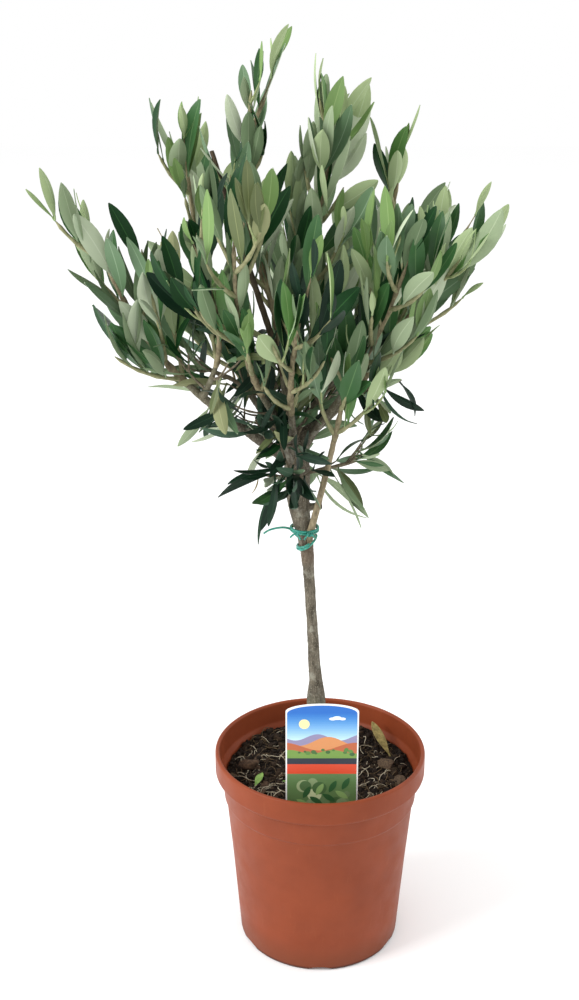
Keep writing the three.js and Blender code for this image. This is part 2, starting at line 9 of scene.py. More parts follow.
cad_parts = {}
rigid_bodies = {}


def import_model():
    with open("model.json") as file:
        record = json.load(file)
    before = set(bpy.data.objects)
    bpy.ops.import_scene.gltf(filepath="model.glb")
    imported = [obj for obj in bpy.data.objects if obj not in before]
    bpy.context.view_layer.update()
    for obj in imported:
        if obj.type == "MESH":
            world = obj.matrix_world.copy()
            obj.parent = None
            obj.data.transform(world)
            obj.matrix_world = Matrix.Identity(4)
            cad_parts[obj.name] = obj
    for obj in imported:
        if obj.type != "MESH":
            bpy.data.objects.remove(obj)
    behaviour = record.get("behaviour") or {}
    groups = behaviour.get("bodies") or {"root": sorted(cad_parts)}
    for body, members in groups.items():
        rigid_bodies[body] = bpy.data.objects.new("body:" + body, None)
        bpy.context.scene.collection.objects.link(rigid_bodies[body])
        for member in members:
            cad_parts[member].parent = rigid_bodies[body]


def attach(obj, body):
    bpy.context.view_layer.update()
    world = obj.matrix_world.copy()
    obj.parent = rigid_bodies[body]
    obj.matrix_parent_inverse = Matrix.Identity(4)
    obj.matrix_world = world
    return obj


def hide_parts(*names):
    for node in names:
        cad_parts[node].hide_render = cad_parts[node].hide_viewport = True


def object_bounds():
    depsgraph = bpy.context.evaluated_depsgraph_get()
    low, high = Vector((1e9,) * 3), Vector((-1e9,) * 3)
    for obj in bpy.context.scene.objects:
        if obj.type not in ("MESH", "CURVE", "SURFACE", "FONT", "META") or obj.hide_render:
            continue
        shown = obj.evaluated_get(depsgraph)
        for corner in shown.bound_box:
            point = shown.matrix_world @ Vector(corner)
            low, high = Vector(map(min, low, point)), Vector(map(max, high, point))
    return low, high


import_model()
cad_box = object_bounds()

# Lengths are in millimetres, with +Z up, -Y to the front and the origin under the pot
MM = 0.001

# Pot
POT_HEIGHT = 148
RIM_RADIUS = 75
RIM_DEPTH = 17
SHOULDER_RADIUS = 70.2
SHOULDER_DEPTH = 37
WALL_TOP_RADIUS = 67.4
BASE_RADIUS = 58
POT_FLOOR = 5
POT_SEGMENTS = 180
DRAIN_COUNT = 6
DRAIN_FIRST_AZIMUTH = 270
DRAIN_WIDTH = 17
DRAIN_HEIGHT = 3
DRAIN_START = 38
DRAIN_HOLE_RADIUS = 4
DRAIN_HOLE_AT = 46

# Soil
SOIL_TOP = 126
SOIL_RADIUS = 67.2
SOIL_FOOT_RADIUS = 55
SOIL_FLOOR = 5.4

# Plant label
LABEL_WIDTH = 49
LABEL_SHOULDER = 205
LABEL_TOP = 211
LABEL_FOOT = 100
LABEL_THICKNESS = 0.8
LABEL_FRONT = -52

# Trunk stations from the ground to the head: height, sideways lean, radius
TRUNK_STATIONS = np.array([
    [126.3, 0, 10.5],
    [133, -0.6, 8.2],
    [150, -1.6, 6.9],
    [176, -2.6, 6.7],
    [189, -2.9, 6.4],
    [200, -3.3, 4.7],
    [225, -5, 3.9],
    [265, -7.6, 3.7],
    [290, -9.2, 4.1],
    [306, -10.8, 5],
    [320, -13.6, 6],
    [334, -16, 7.4],
    [350, -16.8, 8.6],
    [364, -17.2, 8.6],
    [376, -18.4, 7.6],
    [386, -19.6, 5.6],
])
TRUNK_TOP = 386
CUT_STUB = {"at": 331, "azimuth": 352, "reach": 15, "rise": 2, "lift": 0.5, "thick": (2.9, 2.3)}

# Boughs: what each grows on and where, azimuth, reach, rise, share of the rise at the bend, radii
BOUGH_BEND = 0.55
BOUGH_RINGS = 3
BOUGH_KEYS = ("on", "at", "azimuth", "reach", "rise", "lift", "thick")
BOUGHS = {
    "leader": ("trunk", TRUNK_TOP, 205, 8, 56, 0.5, (4.8, 2.8)),
    "left_low": ("trunk", 362, 191, 71, 58, 0.46, (4, 2.3)),
    "right_main": ("trunk", 377, 349, 42, 42, 0.42, (4.1, 2.5)),
    "left_inner": ("trunk", 378, 148, 34, 36, 0.5, (3.4, 2.3)),
    "right_inner": ("trunk", 381, 32, 34, 40, 0.5, (3.4, 2.3)),
    "back_left": ("trunk", 368, 128, 56, 36, 0.42, (3.3, 2.2)),
    "back_right": ("trunk", 367, 54, 56, 42, 0.42, (3.4, 2.2)),
    "back": ("trunk", 375, 95, 38, 28, 0.45, (3, 2.1)),
    "front_left": ("trunk", 379, 236, 36, 38, 0.45, (2.9, 2.1)),
    "front_centre": ("trunk", 364, 264, 34, 42, 0.45, (2.9, 2.1)),
    "front_right": ("trunk", 372, 326, 38, 46, 0.45, (2.9, 2.1)),
    "front_shoot": ("trunk", 303, 301, 33, 84, 0.5, (2.4, 1.8)),
    "left_twig": ("trunk", 370, 172, 30, 38, 0.5, (2, 1.5)),
    "upright": ("leader", 0.3, 21, 14, 36, 0.35, (3, 2.1)),
    "left_side": ("left_low", 0.86, 300, 20, 24, 0.4, (2, 1.7)),
    "right_low": ("right_main", 0.8, 330, 14, 8, 0.4, (2, 1.6)),
    "bare_stick": ("leader", 0.6, 203, 48, 146, 0.54, (2.2, 1.4)),
}

LOOSE_BOUGHS = ("front_shoot", "bare_stick")

# Foliage masses: what each grows on and where, azimuth, reach, rise, spread and droop
MASS_KEYS = ("on", "at", "azimuth", "reach", "rise", "spread", "droop")
MASSES = {
    "leader": ("leader", 1, 250, 12, 172, 30, 0),
    "far_left": ("left_low", 1, 184, 58, 104, 50, 0),
    "left": ("left_side", 1, 244, 24, 80, 44, 0),
    "upper_left": ("left_inner", 1, 190, 40, 156, 46, 0),
    "far_right": ("right_main", 1, 3, 70, 106, 48, 0),
    "upper_right": ("right_inner", 1, 26, 44, 136, 48, 0),
    "upright": ("upright", 1, 356, 32, 140, 44, 0),
    "front_left": ("front_left", 1, 256, 58, 112, 46, 0),
    "front_centre": ("front_centre", 1, 280, 64, 98, 46, 0),
    "front_right": ("front_right", 1, 302, 62, 92, 46, 0),
    "back": ("back", 1, 90, 66, 100, 50, 0),
    "back_left": ("back_left", 1, 140, 80, 98, 52, 0),
    "back_right": ("back_right", 1, 40, 70, 86, 52, 0),
    "right_low": ("right_low", 1, 352, 28, 22, 38, 0),
    "front_shoot": ("front_shoot", 1, 290, 28, 64, 42, 0),
    "low_left": ("left_twig", 1, 190, 34, 20, 40, 0),
    "low_right": ("trunk", 354, 350, 40, 12, 44, 0.3),
    "low_front": ("trunk", 350, 262, 38, 20, 44, 0.2),
    "low_back": ("trunk", 356, 79, 36, 24, 42, 0.1),
    "low_hanging": ("trunk", 350, 196, 27, 8, 46, 0.9),
}

# Growth rule: the number stream, stems and shoots
GAP = 0.3
SEED = 17
SEED_STEP = 7919
FINE_SEED = 104729
STEM_RINGS = 4
STEM_BEND = 0.4
STEM_TIP_RADIUS = 1
STEM_NODE_GAP = 21
STEM_FIRST_NODE = 5
BUSHY_LENGTH = 60
SHOOT_RADII = (1.4, 0.95)
SHOOT_NODE_GAP = 14
SHOOT_FIRST_NODE = 10
SHOOT_CHANCE = 0.6
SHOOT_ANGLE = 44
SHOOT_SHORTENING = 0.35
SHOOT_SIZES = (0.85, 1.2)
SHOOT_TRIES = (1, 0.72, 0.5)
SHOOT_SWEEP = {"bend": 0.5, "outward": 0.78, "forward": 0.2, "upward": 0.16}
SHOOT_CHECKS = (0.4, 0.7, 1)
NODE_SPACING = (0.9, 1.1)
NODE_TURN = 0.3
PAIR_STAGGER = 1.4

# Growth rule: leaves
LEAF_LENGTH = 47
LEAF_SIZES = (0.82, 1.1)
LEAF_TIP_SHRINK = 0.3
LEAF_WIDTH_SHARE = 0.34
LEAF_WIDTHS = (0.85, 1.1)
LEAF_WIDEST = 0.44
LEAF_ANGLES = (48, 26)
LEAF_ANGLE_SHARES = (0.75, 1.25)
LEAF_ROLL = 1.1
LEAF_TRIES = ((1, 1), (0.6, 1), (1.3, 0.85), (0.35, 0.8))
LEAF_CHECKS = ((0.25, 0), (0.5, 0), (0.75, 0), (1, 0), (LEAF_WIDEST, 0.5), (LEAF_WIDEST, -0.5))
END_LEAF = {"lean": 0.08, "share": 0.9}
YOUNG_FROM = 0.85
LEAF_SPACING = 3.4
LIMB_CLEARANCE = 1.4
SPACE_MARGIN = 1.8

# Growth rule, finer than the solids: side twigs, young tips, leaves between and twigs inside the crown
FINE_NODE_GAP = 22
FINE_RADII = (0.75, 0.5)
FINE_ANGLES = (16, 40)
FINE_SPACING = 2.8
FINE_CLEARANCE = 0.8
FINE_INTRUSION = 12
SIDE_TWIGS = 1.4
SIDE_ANGLES = (22, 48)
SIDE_REACHES = (14, 30)
SIDE_SIZES = (0.55, 0.88)
SIDE_SHARES = (0.3, 0.85)
SIDE_SWEEP = {"bend": 0.5, "outward": 0.78, "upward": 0.3}
SIDE_CHECKS = np.array([0.6, 1.0])
SIDE_PAIRS = (0.45, 0.9)
BETWEEN_SIZES = (0.7, 1)
BETWEEN_SHARES = (0.2, 0.6)
PAIR_SIZES = (0.9, 1.1)
YOUNG_SIZES = (0.28, 0.5)
YOUNG_ANGLES = (8, 24)
YOUNG_COUNTS = (2, 3.99)
FINE_LEANS = (1, 0.6, 1.35)
LOW_TWIGS = {"low_front": 11}
USUAL_LOW_TWIGS = 5
LOW_SIZES = (0.45, 0.85)
LOW_TOP = 0.95
INNER_TWIGS = 3
INNER_DROOP = 0.2
INNER_SHARES = (0.25, 0.98)
INNER_FORKS = (0.4, 0.8)
INNER_REACHES = (18, 46)
INNER_ANGLES = (25, 70)
INNER_CHANCE = 0.55
INNER_SEED = 60013
FINE_CHANCES = {"leader": 0.95, "far_left": 0.85, "left": 0.5, "upper_left": 0.4, "upright": 1,
                "upper_right": 0.6, "far_right": 0.45, "back": 0.4, "back_left": 0.3, "back_right": 0.3,
                "low_hanging": 0}
FINE_CHANCE = 0.42
TRUNK_HEAD = (338, 362)
TRUNK_TWIGS = 9
FOLIAGE_LOW = np.array(cad_box[0]) / MM + 1
FOLIAGE_HIGH = np.array(cad_box[1]) / MM - 1

# Camera at the photo's angle
CAMERA_PLACE = (-0.02187, -0.85, 0.6467)
CAMERA_PITCH = 20.05
CAMERA_LENS = 48.7

# Sky among the leaves, read off the photo: middle and radius of a round spot, in its pixels.
# The last two lie before the ties and keep them in sight.
PHOTO_SIZE = (579, 1000)
SENSOR = 36
PHOTO_FOCUS = CAMERA_LENS / SENSOR * PHOTO_SIZE[1]
SKY_SPOTS = {
    "left_of_leader_tip": (240, 45, 11),
    "left_of_leader": (220, 70, 18),
    "left_of_leader_low": (217, 112, 8),
    "behind_bare_stick": (223, 152, 8),
    "right_of_leader": (284, 131, 12),
    "right_of_leader_low": (261, 172, 5),
    "left_notch": (140, 200, 22),
    "left_notch_high": (130, 165, 18),
    "left_notch_low": (150, 225, 10),
    "left_notch_inner": (172, 212, 6),
    "left_notch_end": (190, 207, 6),
    "over_far_left": (57, 142, 13),
    "over_upper_left": (133, 122, 16),
    "over_far_right": (476, 155, 10),
    "outside_far_left": (38, 240, 14),
    "outside_far_left_low": (47, 272, 9),
    "far_left_under_tip": (62, 225, 7),
    "far_left_fork": (78, 177, 6),
    "far_left_gap": (97, 222, 8),
    "far_left_under_leaf": (64, 252, 8),
    "far_left_gap_high": (96, 203, 6),
    "under_far_left": (60, 310, 14),
    "under_left": (97, 350, 17),
    "under_left_low": (113, 377, 9),
    "under_left_bough": (150, 408, 15),
    "under_left_bough_inner": (182, 410, 10),
    "middle_hole": (265, 319, 11),
    "small_hole_left": (187, 266, 5),
    "small_hole_middle": (220, 258, 5),
    "small_hole_under_leader": (252, 278, 5),
    "left_of_upright": (303, 88, 10),
    "right_of_upright": (389, 128, 9),
    "under_upright": (352, 180, 6),
    "beside_upper_right": (428, 150, 18),
    "right_notch": (425, 190, 8),
    "right_slit": (403, 190, 6),
    "right_hole": (328, 226, 5),
    "far_right_gap": (467, 215, 7),
    "far_right_gap_high": (464, 188, 6),
    "far_right_gap_low": (444, 306, 7),
    "under_far_right": (490, 262, 10),
    "under_far_right_leaf": (470, 325, 14),
    "under_right": (445, 350, 14),
    "under_right_low": (430, 385, 18),
    "right_of_shoot": (405, 452, 20),
    "right_of_shoot_low": (383, 494, 16),
    "low_left_lattice": (226, 378, 7),
    "low_left_lattice_high": (219, 362, 6),
    "low_left_lattice_outer": (201, 404, 6),
    "low_left_lattice_inner": (246, 412, 8),
    "low_middle_lattice": (284, 390, 8),
    "left_of_head": (232, 450, 12),
    "left_of_ties": (240, 520, 14),
    "before_ties": (303, 532, 14),
    "before_tie_tail": (284, 525, 9),
}
SKY_MARGIN = 3

# Masses that sway to the side on their way up: how far, how late and over which share of a half wave
SWAYS = {"leader": (-19, 1.3, 1), "upright": (-16, 1, 0.62)}
SWAY_POWER = 1.5

UP = np.array([0.0, 0.0, 1.0])
SIDE = np.array([1.0, 0.0, 0.0])
EYE = np.array(CAMERA_PLACE) / MM

# Upward share from which a direction counts as upright, for a stem's axis and for a tube
UPRIGHT_AXIS = 0.95
UPRIGHT_TUBE = 0.9

# Number stream of the solids
STREAM_RANGE = 2 ** 32
STREAM_FACTOR = 1664525
STREAM_STEP = 1013904223


def seeded(seed):
    """Number stream from 0 to 1, the same one that the solids grow by."""
    state = seed % STREAM_RANGE

    def draw():
        nonlocal state
        state = (state * STREAM_FACTOR + STREAM_STEP) % STREAM_RANGE
        return state / STREAM_RANGE

    return draw


def unit(vector):
    return vector / np.linalg.norm(vector)


def heading(azimuth):
    turn = math.radians(azimuth)
    return np.array([math.cos(turn), math.sin(turn), 0.0])


def mixed(low, high, share):
    return low + (high - low) * share


class Bow:
    """Curve from a foot towards a bend and on to a tip."""

    STEPS = 12

    def __init__(self, foot, bend, tip):
        self.foot, self.bend, self.tip = foot, bend, tip

    def point(self, share):
        share = np.asarray(share, float)[..., None]
        rest = 1 - share
        return self.foot * rest * rest + self.bend * 2 * rest * share + self.tip * share * share

    def direction(self, share):
        return unit((self.bend - self.foot) * (1 - share) + (self.tip - self.bend) * share)

    def length(self):
        steps = np.diff(self.point(np.linspace(0, 1, self.STEPS)), axis=0)
        return np.linalg.norm(steps, axis=1).sum()


def trunk_at(height):
    heights, leans, radii = TRUNK_STATIONS.T
    return np.array([np.interp(height, heights, leans), 0.0, height]), np.interp(height, heights, radii)


def bowed(foot, azimuth, reach, rise, lift):
    tip = foot + heading(azimuth) * reach + UP * rise
    bend = foot + heading(azimuth) * reach * BOUGH_BEND + UP * rise * lift
    return Bow(foot, bend, tip)


def plan_boughs():
    curves = {}
    for name, values in BOUGHS.items():
        bough = dict(zip(BOUGH_KEYS, values))
        on_trunk = bough["on"] == "trunk"
        foot = trunk_at(bough["at"])[0] if on_trunk else curves[bough["on"]].point(bough["at"])
        curves[name] = bowed(foot, bough["azimuth"], bough["reach"], bough["rise"], bough["lift"])
    return curves


class Stretches:
    """Straight stretches of limbs or stems, to measure how far points lie from them."""

    def __init__(self, starts, ends, radii=0.0):
        self.starts, self.lines = np.array(starts), np.array(ends) - np.array(starts)
        self.squares = (self.lines ** 2).sum(-1)
        self.radii = np.asarray(radii)

    def distances(self, points):
        offsets = points[:, None] - self.starts
        shares = np.clip((offsets * self.lines).sum(-1) / self.squares, 0, 1)
        return np.linalg.norm(offsets - shares[..., None] * self.lines, axis=-1)

    def clearances(self, points):
        """How far points lie from the nearest skin."""
        return (self.distances(points) - self.radii).min(-1)


def curve_steps(curve, count):
    """Starts and ends of the steps that a curve is measured by."""
    points = [curve.point(step / count) for step in range(count + 1)]
    return points[:-1], points[1:]


def limb_stretches(curves):
    starts, ends, radii = [], [], []
    for low, high in zip(TRUNK_STATIONS, TRUNK_STATIONS[1:]):
        starts.append(trunk_at(low[0])[0])
        ends.append(trunk_at(high[0])[0])
        radii.append(max(low[2], high[2]))
    for name, curve in curves.items():
        lows, highs = curve_steps(curve, BOUGH_RINGS)
        starts.extend(lows)
        ends.extend(highs)
        radii.extend(mixed(*BOUGHS[name][-1], ring / BOUGH_RINGS) for ring in range(BOUGH_RINGS))
    return Stretches(starts, ends, radii)


def plan_masses(curves):
    """Stems of all masses. Each mass owns the room that lies nearest to its own stem."""
    masses = []
    for index, (name, values) in enumerate(MASSES.items()):
        mass = dict(zip(MASS_KEYS, values), name=name, index=index)
        if mass["on"] == "trunk":
            foot, clear = trunk_at(mass["at"])
            stem_radius = SHOOT_RADII[0]
        else:
            bough = curves[mass["on"]]
            foot, clear = bough.point(1) + bough.direction(1) * GAP, 0
            stem_radius = BOUGHS[mass["on"]][-1][1]
        tip = foot + heading(mass["azimuth"]) * mass["reach"] + UP * mass["rise"]
        length = np.linalg.norm(tip - foot)
        first = unit(tip - foot) if mass["on"] == "trunk" else curves[mass["on"]].direction(1)
        curve = Bow(foot, foot + first * length * STEM_BEND, tip)
        mass.update(curve=curve, length=length, clear=clear, stem_radius=stem_radius)
        mass.update(random=seeded(SEED + index * SEED_STEP), fine=seeded(FINE_SEED + index * SEED_STEP))
        masses.append(mass)
    return masses


def leaning(axis, turn, angle):
    """Direction that leans away from an axis by an angle, towards a turn about it."""
    level = unit(np.cross(axis, UP if abs(axis[2]) < UPRIGHT_AXIS else SIDE))
    steep = np.cross(level, axis)
    return axis * math.cos(angle) + (level * math.cos(turn) + steep * math.sin(turn)) * math.sin(angle)


def in_plane(points):
    """Where points stand in the upright plane through the trunk, seen from the camera."""
    shares = EYE[1] / (EYE[1] - points[:, 1])
    return EYE[[0, 2]] + (points[:, [0, 2]] - EYE[[0, 2]]) * shares[:, None]


def sky_spot(u, v, radius):
    """A spot of the photo as x, z and radius in that plane, through the camera."""
    pitch = math.radians(CAMERA_PITCH)
    rise = (PHOTO_SIZE[1] / 2 - v) / PHOTO_FOCUS
    ray = np.array([(u - PHOTO_SIZE[0] / 2) / PHOTO_FOCUS,
                    math.cos(pitch) + rise * math.sin(pitch),
                    rise * math.cos(pitch) - math.sin(pitch)])
    far = -EYE[1] / ray[1]
    place_seen = EYE + ray * far
    return place_seen[0], place_seen[2], radius * far / PHOTO_FOCUS


SKY = np.array([sky_spot(*spot) for spot in SKY_SPOTS.values()])


def in_sky(points):
    """Whether points stand in front of a spot of sky, seen from the camera."""
    away = np.linalg.norm(in_plane(points)[:, None] - SKY[:, :2], axis=-1)
    return bool((away < SKY[:, 2] + SKY_MARGIN).any())


def turned_about(vector, axis, angle):
    return vector * math.cos(angle) + np.cross(axis, vector) * math.sin(angle) \
        + axis * np.dot(axis, vector) * (1 - math.cos(angle))


def swayed(points, mass):
    """Points of a mass, moved to the side by its sway."""
    if mass["name"] not in SWAYS:
        return points
    reach, late, part = SWAYS[mass["name"]]
    foot, tip = mass["curve"].foot[2], mass["curve"].tip[2]
    share = np.clip((points[:, 2] - foot) / (tip - foot), 0, 1)
    return points + SIDE * (reach * np.sin(share ** late * part * math.pi) ** SWAY_POWER)[:, None]


class Growth:
    """All twigs and leaves, grown mass by mass in the order of the solids, then carried to finer twigs."""

    def __init__(self, curves):
        self.limbs = limb_stretches(curves)
        self.masses = plan_masses(curves)
        starts, ends = [], []
        for mass in self.masses:
            lows, highs = curve_steps(mass["curve"], STEM_RINGS)
            starts.extend(lows)
            ends.extend(highs)
        self.stems = Stretches(starts, ends)
        self.twigs, self.leaves, self.spots = [], [], []
        self.spray = 0

    def room(self, points, mass):
        """Distance to the mass's own stem, to other stems past that, and to the nearest limb's skin."""
        away = self.stems.distances(points).reshape(len(points), len(self.masses), STEM_RINGS).min(-1)
        own = away[:, mass["index"]].copy()
        away[:, mass["index"]] = math.inf
        return own, away.min(-1) - own, self.limbs.clearances(points)

    def fits(self, points, mass, margin=SPACE_MARGIN, clearance=LIMB_CLEARANCE):
        own, others, skin = self.room(np.asarray(points), mass)
        return bool((own < mass["spread"]).all() and (others > margin).all() and (skin > clearance).all())

    def grow(self, curves):
        for mass in self.masses:
            self.grow_mass(mass)
        self.spots = [leaf["points"] for leaf in self.leaves]
        for mass in self.masses:
            self.grow_finer(mass)
        self.grow_inside(curves)

    def grow_mass(self, mass):
        mass["blades"], mass["shoots"] = [], []
        self.spray += 1
        mass["shoots_from"] = self.spray
        radii = (mass["stem_radius"], STEM_TIP_RADIUS)
        self.twigs.append(dict(curve=mass["curve"], radii=radii, mass=mass, parent=None))
        gap = STEM_NODE_GAP if mass["length"] > BUSHY_LENGTH else SHOOT_NODE_GAP
        self.add_leaves(mass, mass["curve"], mass["length"], STEM_FIRST_NODE + mass["clear"], gap)

    def add_leaves(self, mass, curve, length, first, gap):
        draw = mass["random"]
        nodes = max(1, math.floor((length - first - gap / 2) / gap) + 1)
        twist = mixed(0, math.pi, draw())
        spray = self.spray
        for node in range(nodes):
            for half in (0, 1):
                at = first + node * gap * mixed(*NODE_SPACING, draw()) + half * PAIR_STAGGER
                share = min(1, at / length)
                point, direction = curve.point(share), curve.direction(share)
                turn = twist + (node / 2 + half) * math.pi + mixed(-NODE_TURN, NODE_TURN, draw())
                shoots = gap == STEM_NODE_GAP and draw() < SHOOT_CHANCE
                reach = mass["spread"] * (1 - SHOOT_SHORTENING * share) * mixed(*SHOOT_SIZES, draw())
                if not shoots or not self.add_shoot(mass, curve, point, direction, turn, reach):
                    self.add_leaf(mass, curve, point, direction, turn, share, spray)
        end = curve.direction(1)
        way = leaning(end, twist, END_LEAF["lean"])
        self.add_leaf(mass, curve, curve.point(1), way, twist, END_LEAF["share"], spray)

    def add_shoot(self, mass, parent, point, axis, turn, length):
        outward = leaning(axis, turn, math.radians(SHOOT_ANGLE))
        for scale in SHOOT_TRIES:
            reach = length * scale
            bend = point + outward * reach * SHOOT_SWEEP["bend"]
            tip = point + outward * reach * SHOOT_SWEEP["outward"] + axis * reach * SHOOT_SWEEP["forward"]
            tip = tip + UP * reach * SHOOT_SWEEP["upward"] * (1 - 2 * mass["droop"])
            curve = Bow(point, bend, tip)
            if self.fits([curve.point(share) for share in SHOOT_CHECKS], mass):
                self.spray += 1
                self.twigs.append(dict(curve=curve, radii=SHOOT_RADII, mass=mass, parent=parent))
                mass["shoots"].append((curve, self.spray))
                self.add_leaves(mass, curve, reach, SHOOT_FIRST_NODE, SHOOT_NODE_GAP)
                return True
        return False

    def add_leaf(self, mass, twig, point, axis, turn, share, spray):
        draw = mass["random"]
        size = mixed(*LEAF_SIZES, draw()) * (1 - LEAF_TIP_SHRINK * share)
        angle = math.radians(mixed(*LEAF_ANGLES, share)) * mixed(*LEAF_ANGLE_SHARES, draw())
        roll = mixed(-LEAF_ROLL, LEAF_ROLL, draw())
        width = LEAF_LENGTH * LEAF_WIDTH_SHARE * size * mixed(*LEAF_WIDTHS, draw())
        for lean, scale in LEAF_TRIES:
            direction = unit(leaning(axis, turn, angle * lean) - UP * mass["droop"])
            blade = self.blade(point, direction, axis, roll, LEAF_LENGTH * size * scale, width)
            points = blade["points"]
            crowded = any(np.linalg.norm(points[:, None] - other, axis=-1).min() < LEAF_SPACING
                          for other in mass["blades"])
            if not crowded and self.fits(points, mass):
                mass["blades"].append(points)
                self.leaves.append(dict(blade, mass=mass, on=twig, spray=spray, young=share > YOUNG_FROM))
                return

    def blade(self, root, direction, axis, roll, length, width):
        across = turned_about(unit(np.cross(direction, axis)), direction, roll)
        points = np.array([root + direction * length * far + across * width * wide
                           for far, wide in LEAF_CHECKS])
        return dict(root=root, direction=direction, across=across, length=length, width=width, points=points)

    # Finer growth
    def grow_finer(self, mass):
        """Side twigs, young tips and the leaves between, within the reach that the solids have."""
        draw, stem, spray = mass["fine"], mass["curve"], mass["shoots_from"]
        chance = FINE_CHANCES.get(mass["name"], FINE_CHANCE)
        if mass["name"].startswith("low"):
            shares = (mass["clear"] / mass["length"], LOW_TOP)
            for _ in range(LOW_TWIGS.get(mass["name"], USUAL_LOW_TWIGS) if chance else 0):
                self.add_side_twig(mass, stem, spray, shares, LOW_SIZES)
        else:
            for node in range(int(mass["length"] / FINE_NODE_GAP)):
                share = min(1, (FINE_NODE_GAP * (node + draw()) + mass["clear"]) / mass["length"])
                if draw() < chance:
                    self.add_pair(mass, stem, share, mixed(*BETWEEN_SIZES, draw()), spray)
        for curve, spray in list(mass["shoots"]):
            for _ in range(1 + int(draw() * SIDE_TWIGS)):
                if draw() < chance:
                    self.add_side_twig(mass, curve, spray, SIDE_SHARES, SIDE_SIZES)
            if draw() < chance:
                share = mixed(*BETWEEN_SHARES, draw())
                self.add_pair(mass, curve, share, mixed(*BETWEEN_SIZES, draw()), spray)
            self.add_young_tip(mass, curve, spray)
        self.add_young_tip(mass, stem, mass["shoots_from"])

    def add_side_twig(self, mass, parent, spray, shares, sizes, angles=SIDE_ANGLES, reaches=SIDE_REACHES):
        draw = mass["fine"]
        share = mixed(*shares, draw())
        point, axis = parent.point(share), parent.direction(share)
        outward = leaning(axis, draw() * 2 * math.pi, math.radians(mixed(*angles, draw())))
        reach = mixed(*reaches, draw())
        tip = point + outward * reach * SIDE_SWEEP["outward"]
        tip = tip + UP * reach * SIDE_SWEEP["upward"] * (1 - 2 * mass["droop"])
        curve = Bow(point, point + outward * reach * SIDE_SWEEP["bend"], tip)
        if self.fine_fits(curve.point(SIDE_CHECKS), mass):
            self.twigs.append(dict(curve=curve, radii=FINE_RADII, mass=mass, parent=parent))
            for share in SIDE_PAIRS:
                self.add_pair(mass, curve, share, mixed(*sizes, draw()), spray)
            self.add_young_tip(mass, curve, spray)
            return curve
        return None

    def grow_inside(self, curves):
        """Thin twigs on the boughs, in the dark middle under the masses."""
        low, middle = (trunk_at(height)[0] for height in TRUNK_HEAD)
        limbs = dict(curves, trunk=Bow(low, middle, trunk_at(TRUNK_TOP)[0]))
        for index, (name, curve) in enumerate(limbs.items()):
            if name in LOOSE_BOUGHS:
                continue
            stream = seeded(INNER_SEED + index * SEED_STEP)
            inner = dict(name="low_inner", index=None, droop=INNER_DROOP, fine=stream)
            for _ in range(TRUNK_TWIGS if name == "trunk" else INNER_TWIGS):
                self.spray += 1
                twig = self.add_side_twig(inner, curve, self.spray, INNER_SHARES, LOW_SIZES,
                                          INNER_ANGLES, INNER_REACHES)
                if twig and stream() < INNER_CHANCE:
                    self.add_side_twig(inner, twig, self.spray, INNER_FORKS, LOW_SIZES)

    def add_pair(self, mass, curve, share, size, spray):
        draw = mass["fine"]
        point, axis, turn = curve.point(share), curve.direction(share), draw() * math.pi
        for half in (0, 1):
            length = size * mixed(*PAIR_SIZES, draw())
            self.add_fine_leaf(mass, curve, point, axis, turn + half * math.pi, length, spray, False)

    def add_young_tip(self, mass, curve, spray):
        draw = mass["fine"]
        point, axis, turn = curve.point(1), curve.direction(1), draw() * math.pi
        for leaf in range(int(mixed(*YOUNG_COUNTS, draw()))):
            length = mixed(*YOUNG_SIZES, draw())
            self.add_fine_leaf(mass, curve, point, axis, turn + leaf * math.pi, length, spray, True)

    def add_fine_leaf(self, mass, twig, point, axis, turn, size, spray, young):
        draw = mass["fine"]
        angle = math.radians(mixed(*(YOUNG_ANGLES if young else FINE_ANGLES), draw()))
        roll = mixed(-LEAF_ROLL, LEAF_ROLL, draw())
        length = LEAF_LENGTH * size
        width = length * LEAF_WIDTH_SHARE * mixed(*LEAF_WIDTHS, draw())
        for lean in FINE_LEANS:
            direction = unit(leaning(axis, turn, angle * lean) - UP * mass["droop"])
            blade = self.blade(point, direction, axis, roll, length, width)
            if self.fine_fits(blade["points"], mass) and not self.crowded(blade["points"]):
                self.leaves.append(dict(blade, mass=mass, on=twig, spray=spray, young=young))
                self.spots.append(blade["points"])
                return

    def fine_fits(self, points, mass):
        """Whether points stay in the solids' box, clear of the limbs, and in the mass's own room."""
        if not ((points > FOLIAGE_LOW).all() and (points < FOLIAGE_HIGH).all()):
            return False
        if mass["index"] is None:
            return bool((self.limbs.clearances(points) > FINE_CLEARANCE).all())
        return self.fits(points, mass, -FINE_INTRUSION, FINE_CLEARANCE)

    def crowded(self, points):
        """Whether a leaf comes too close to those that stand near its middle."""
        spots = np.concatenate(self.spots)
        near = spots[np.linalg.norm(spots - points[1], axis=1) < LEAF_LENGTH]
        return len(near) > 0 and np.linalg.norm(near[:, None] - points, axis=-1).min() < FINE_SPACING


# Least angles, in degrees, at which an edge of a piece shows as sharp
SHARP_EDGE = 60
ROUND_EDGE = 80


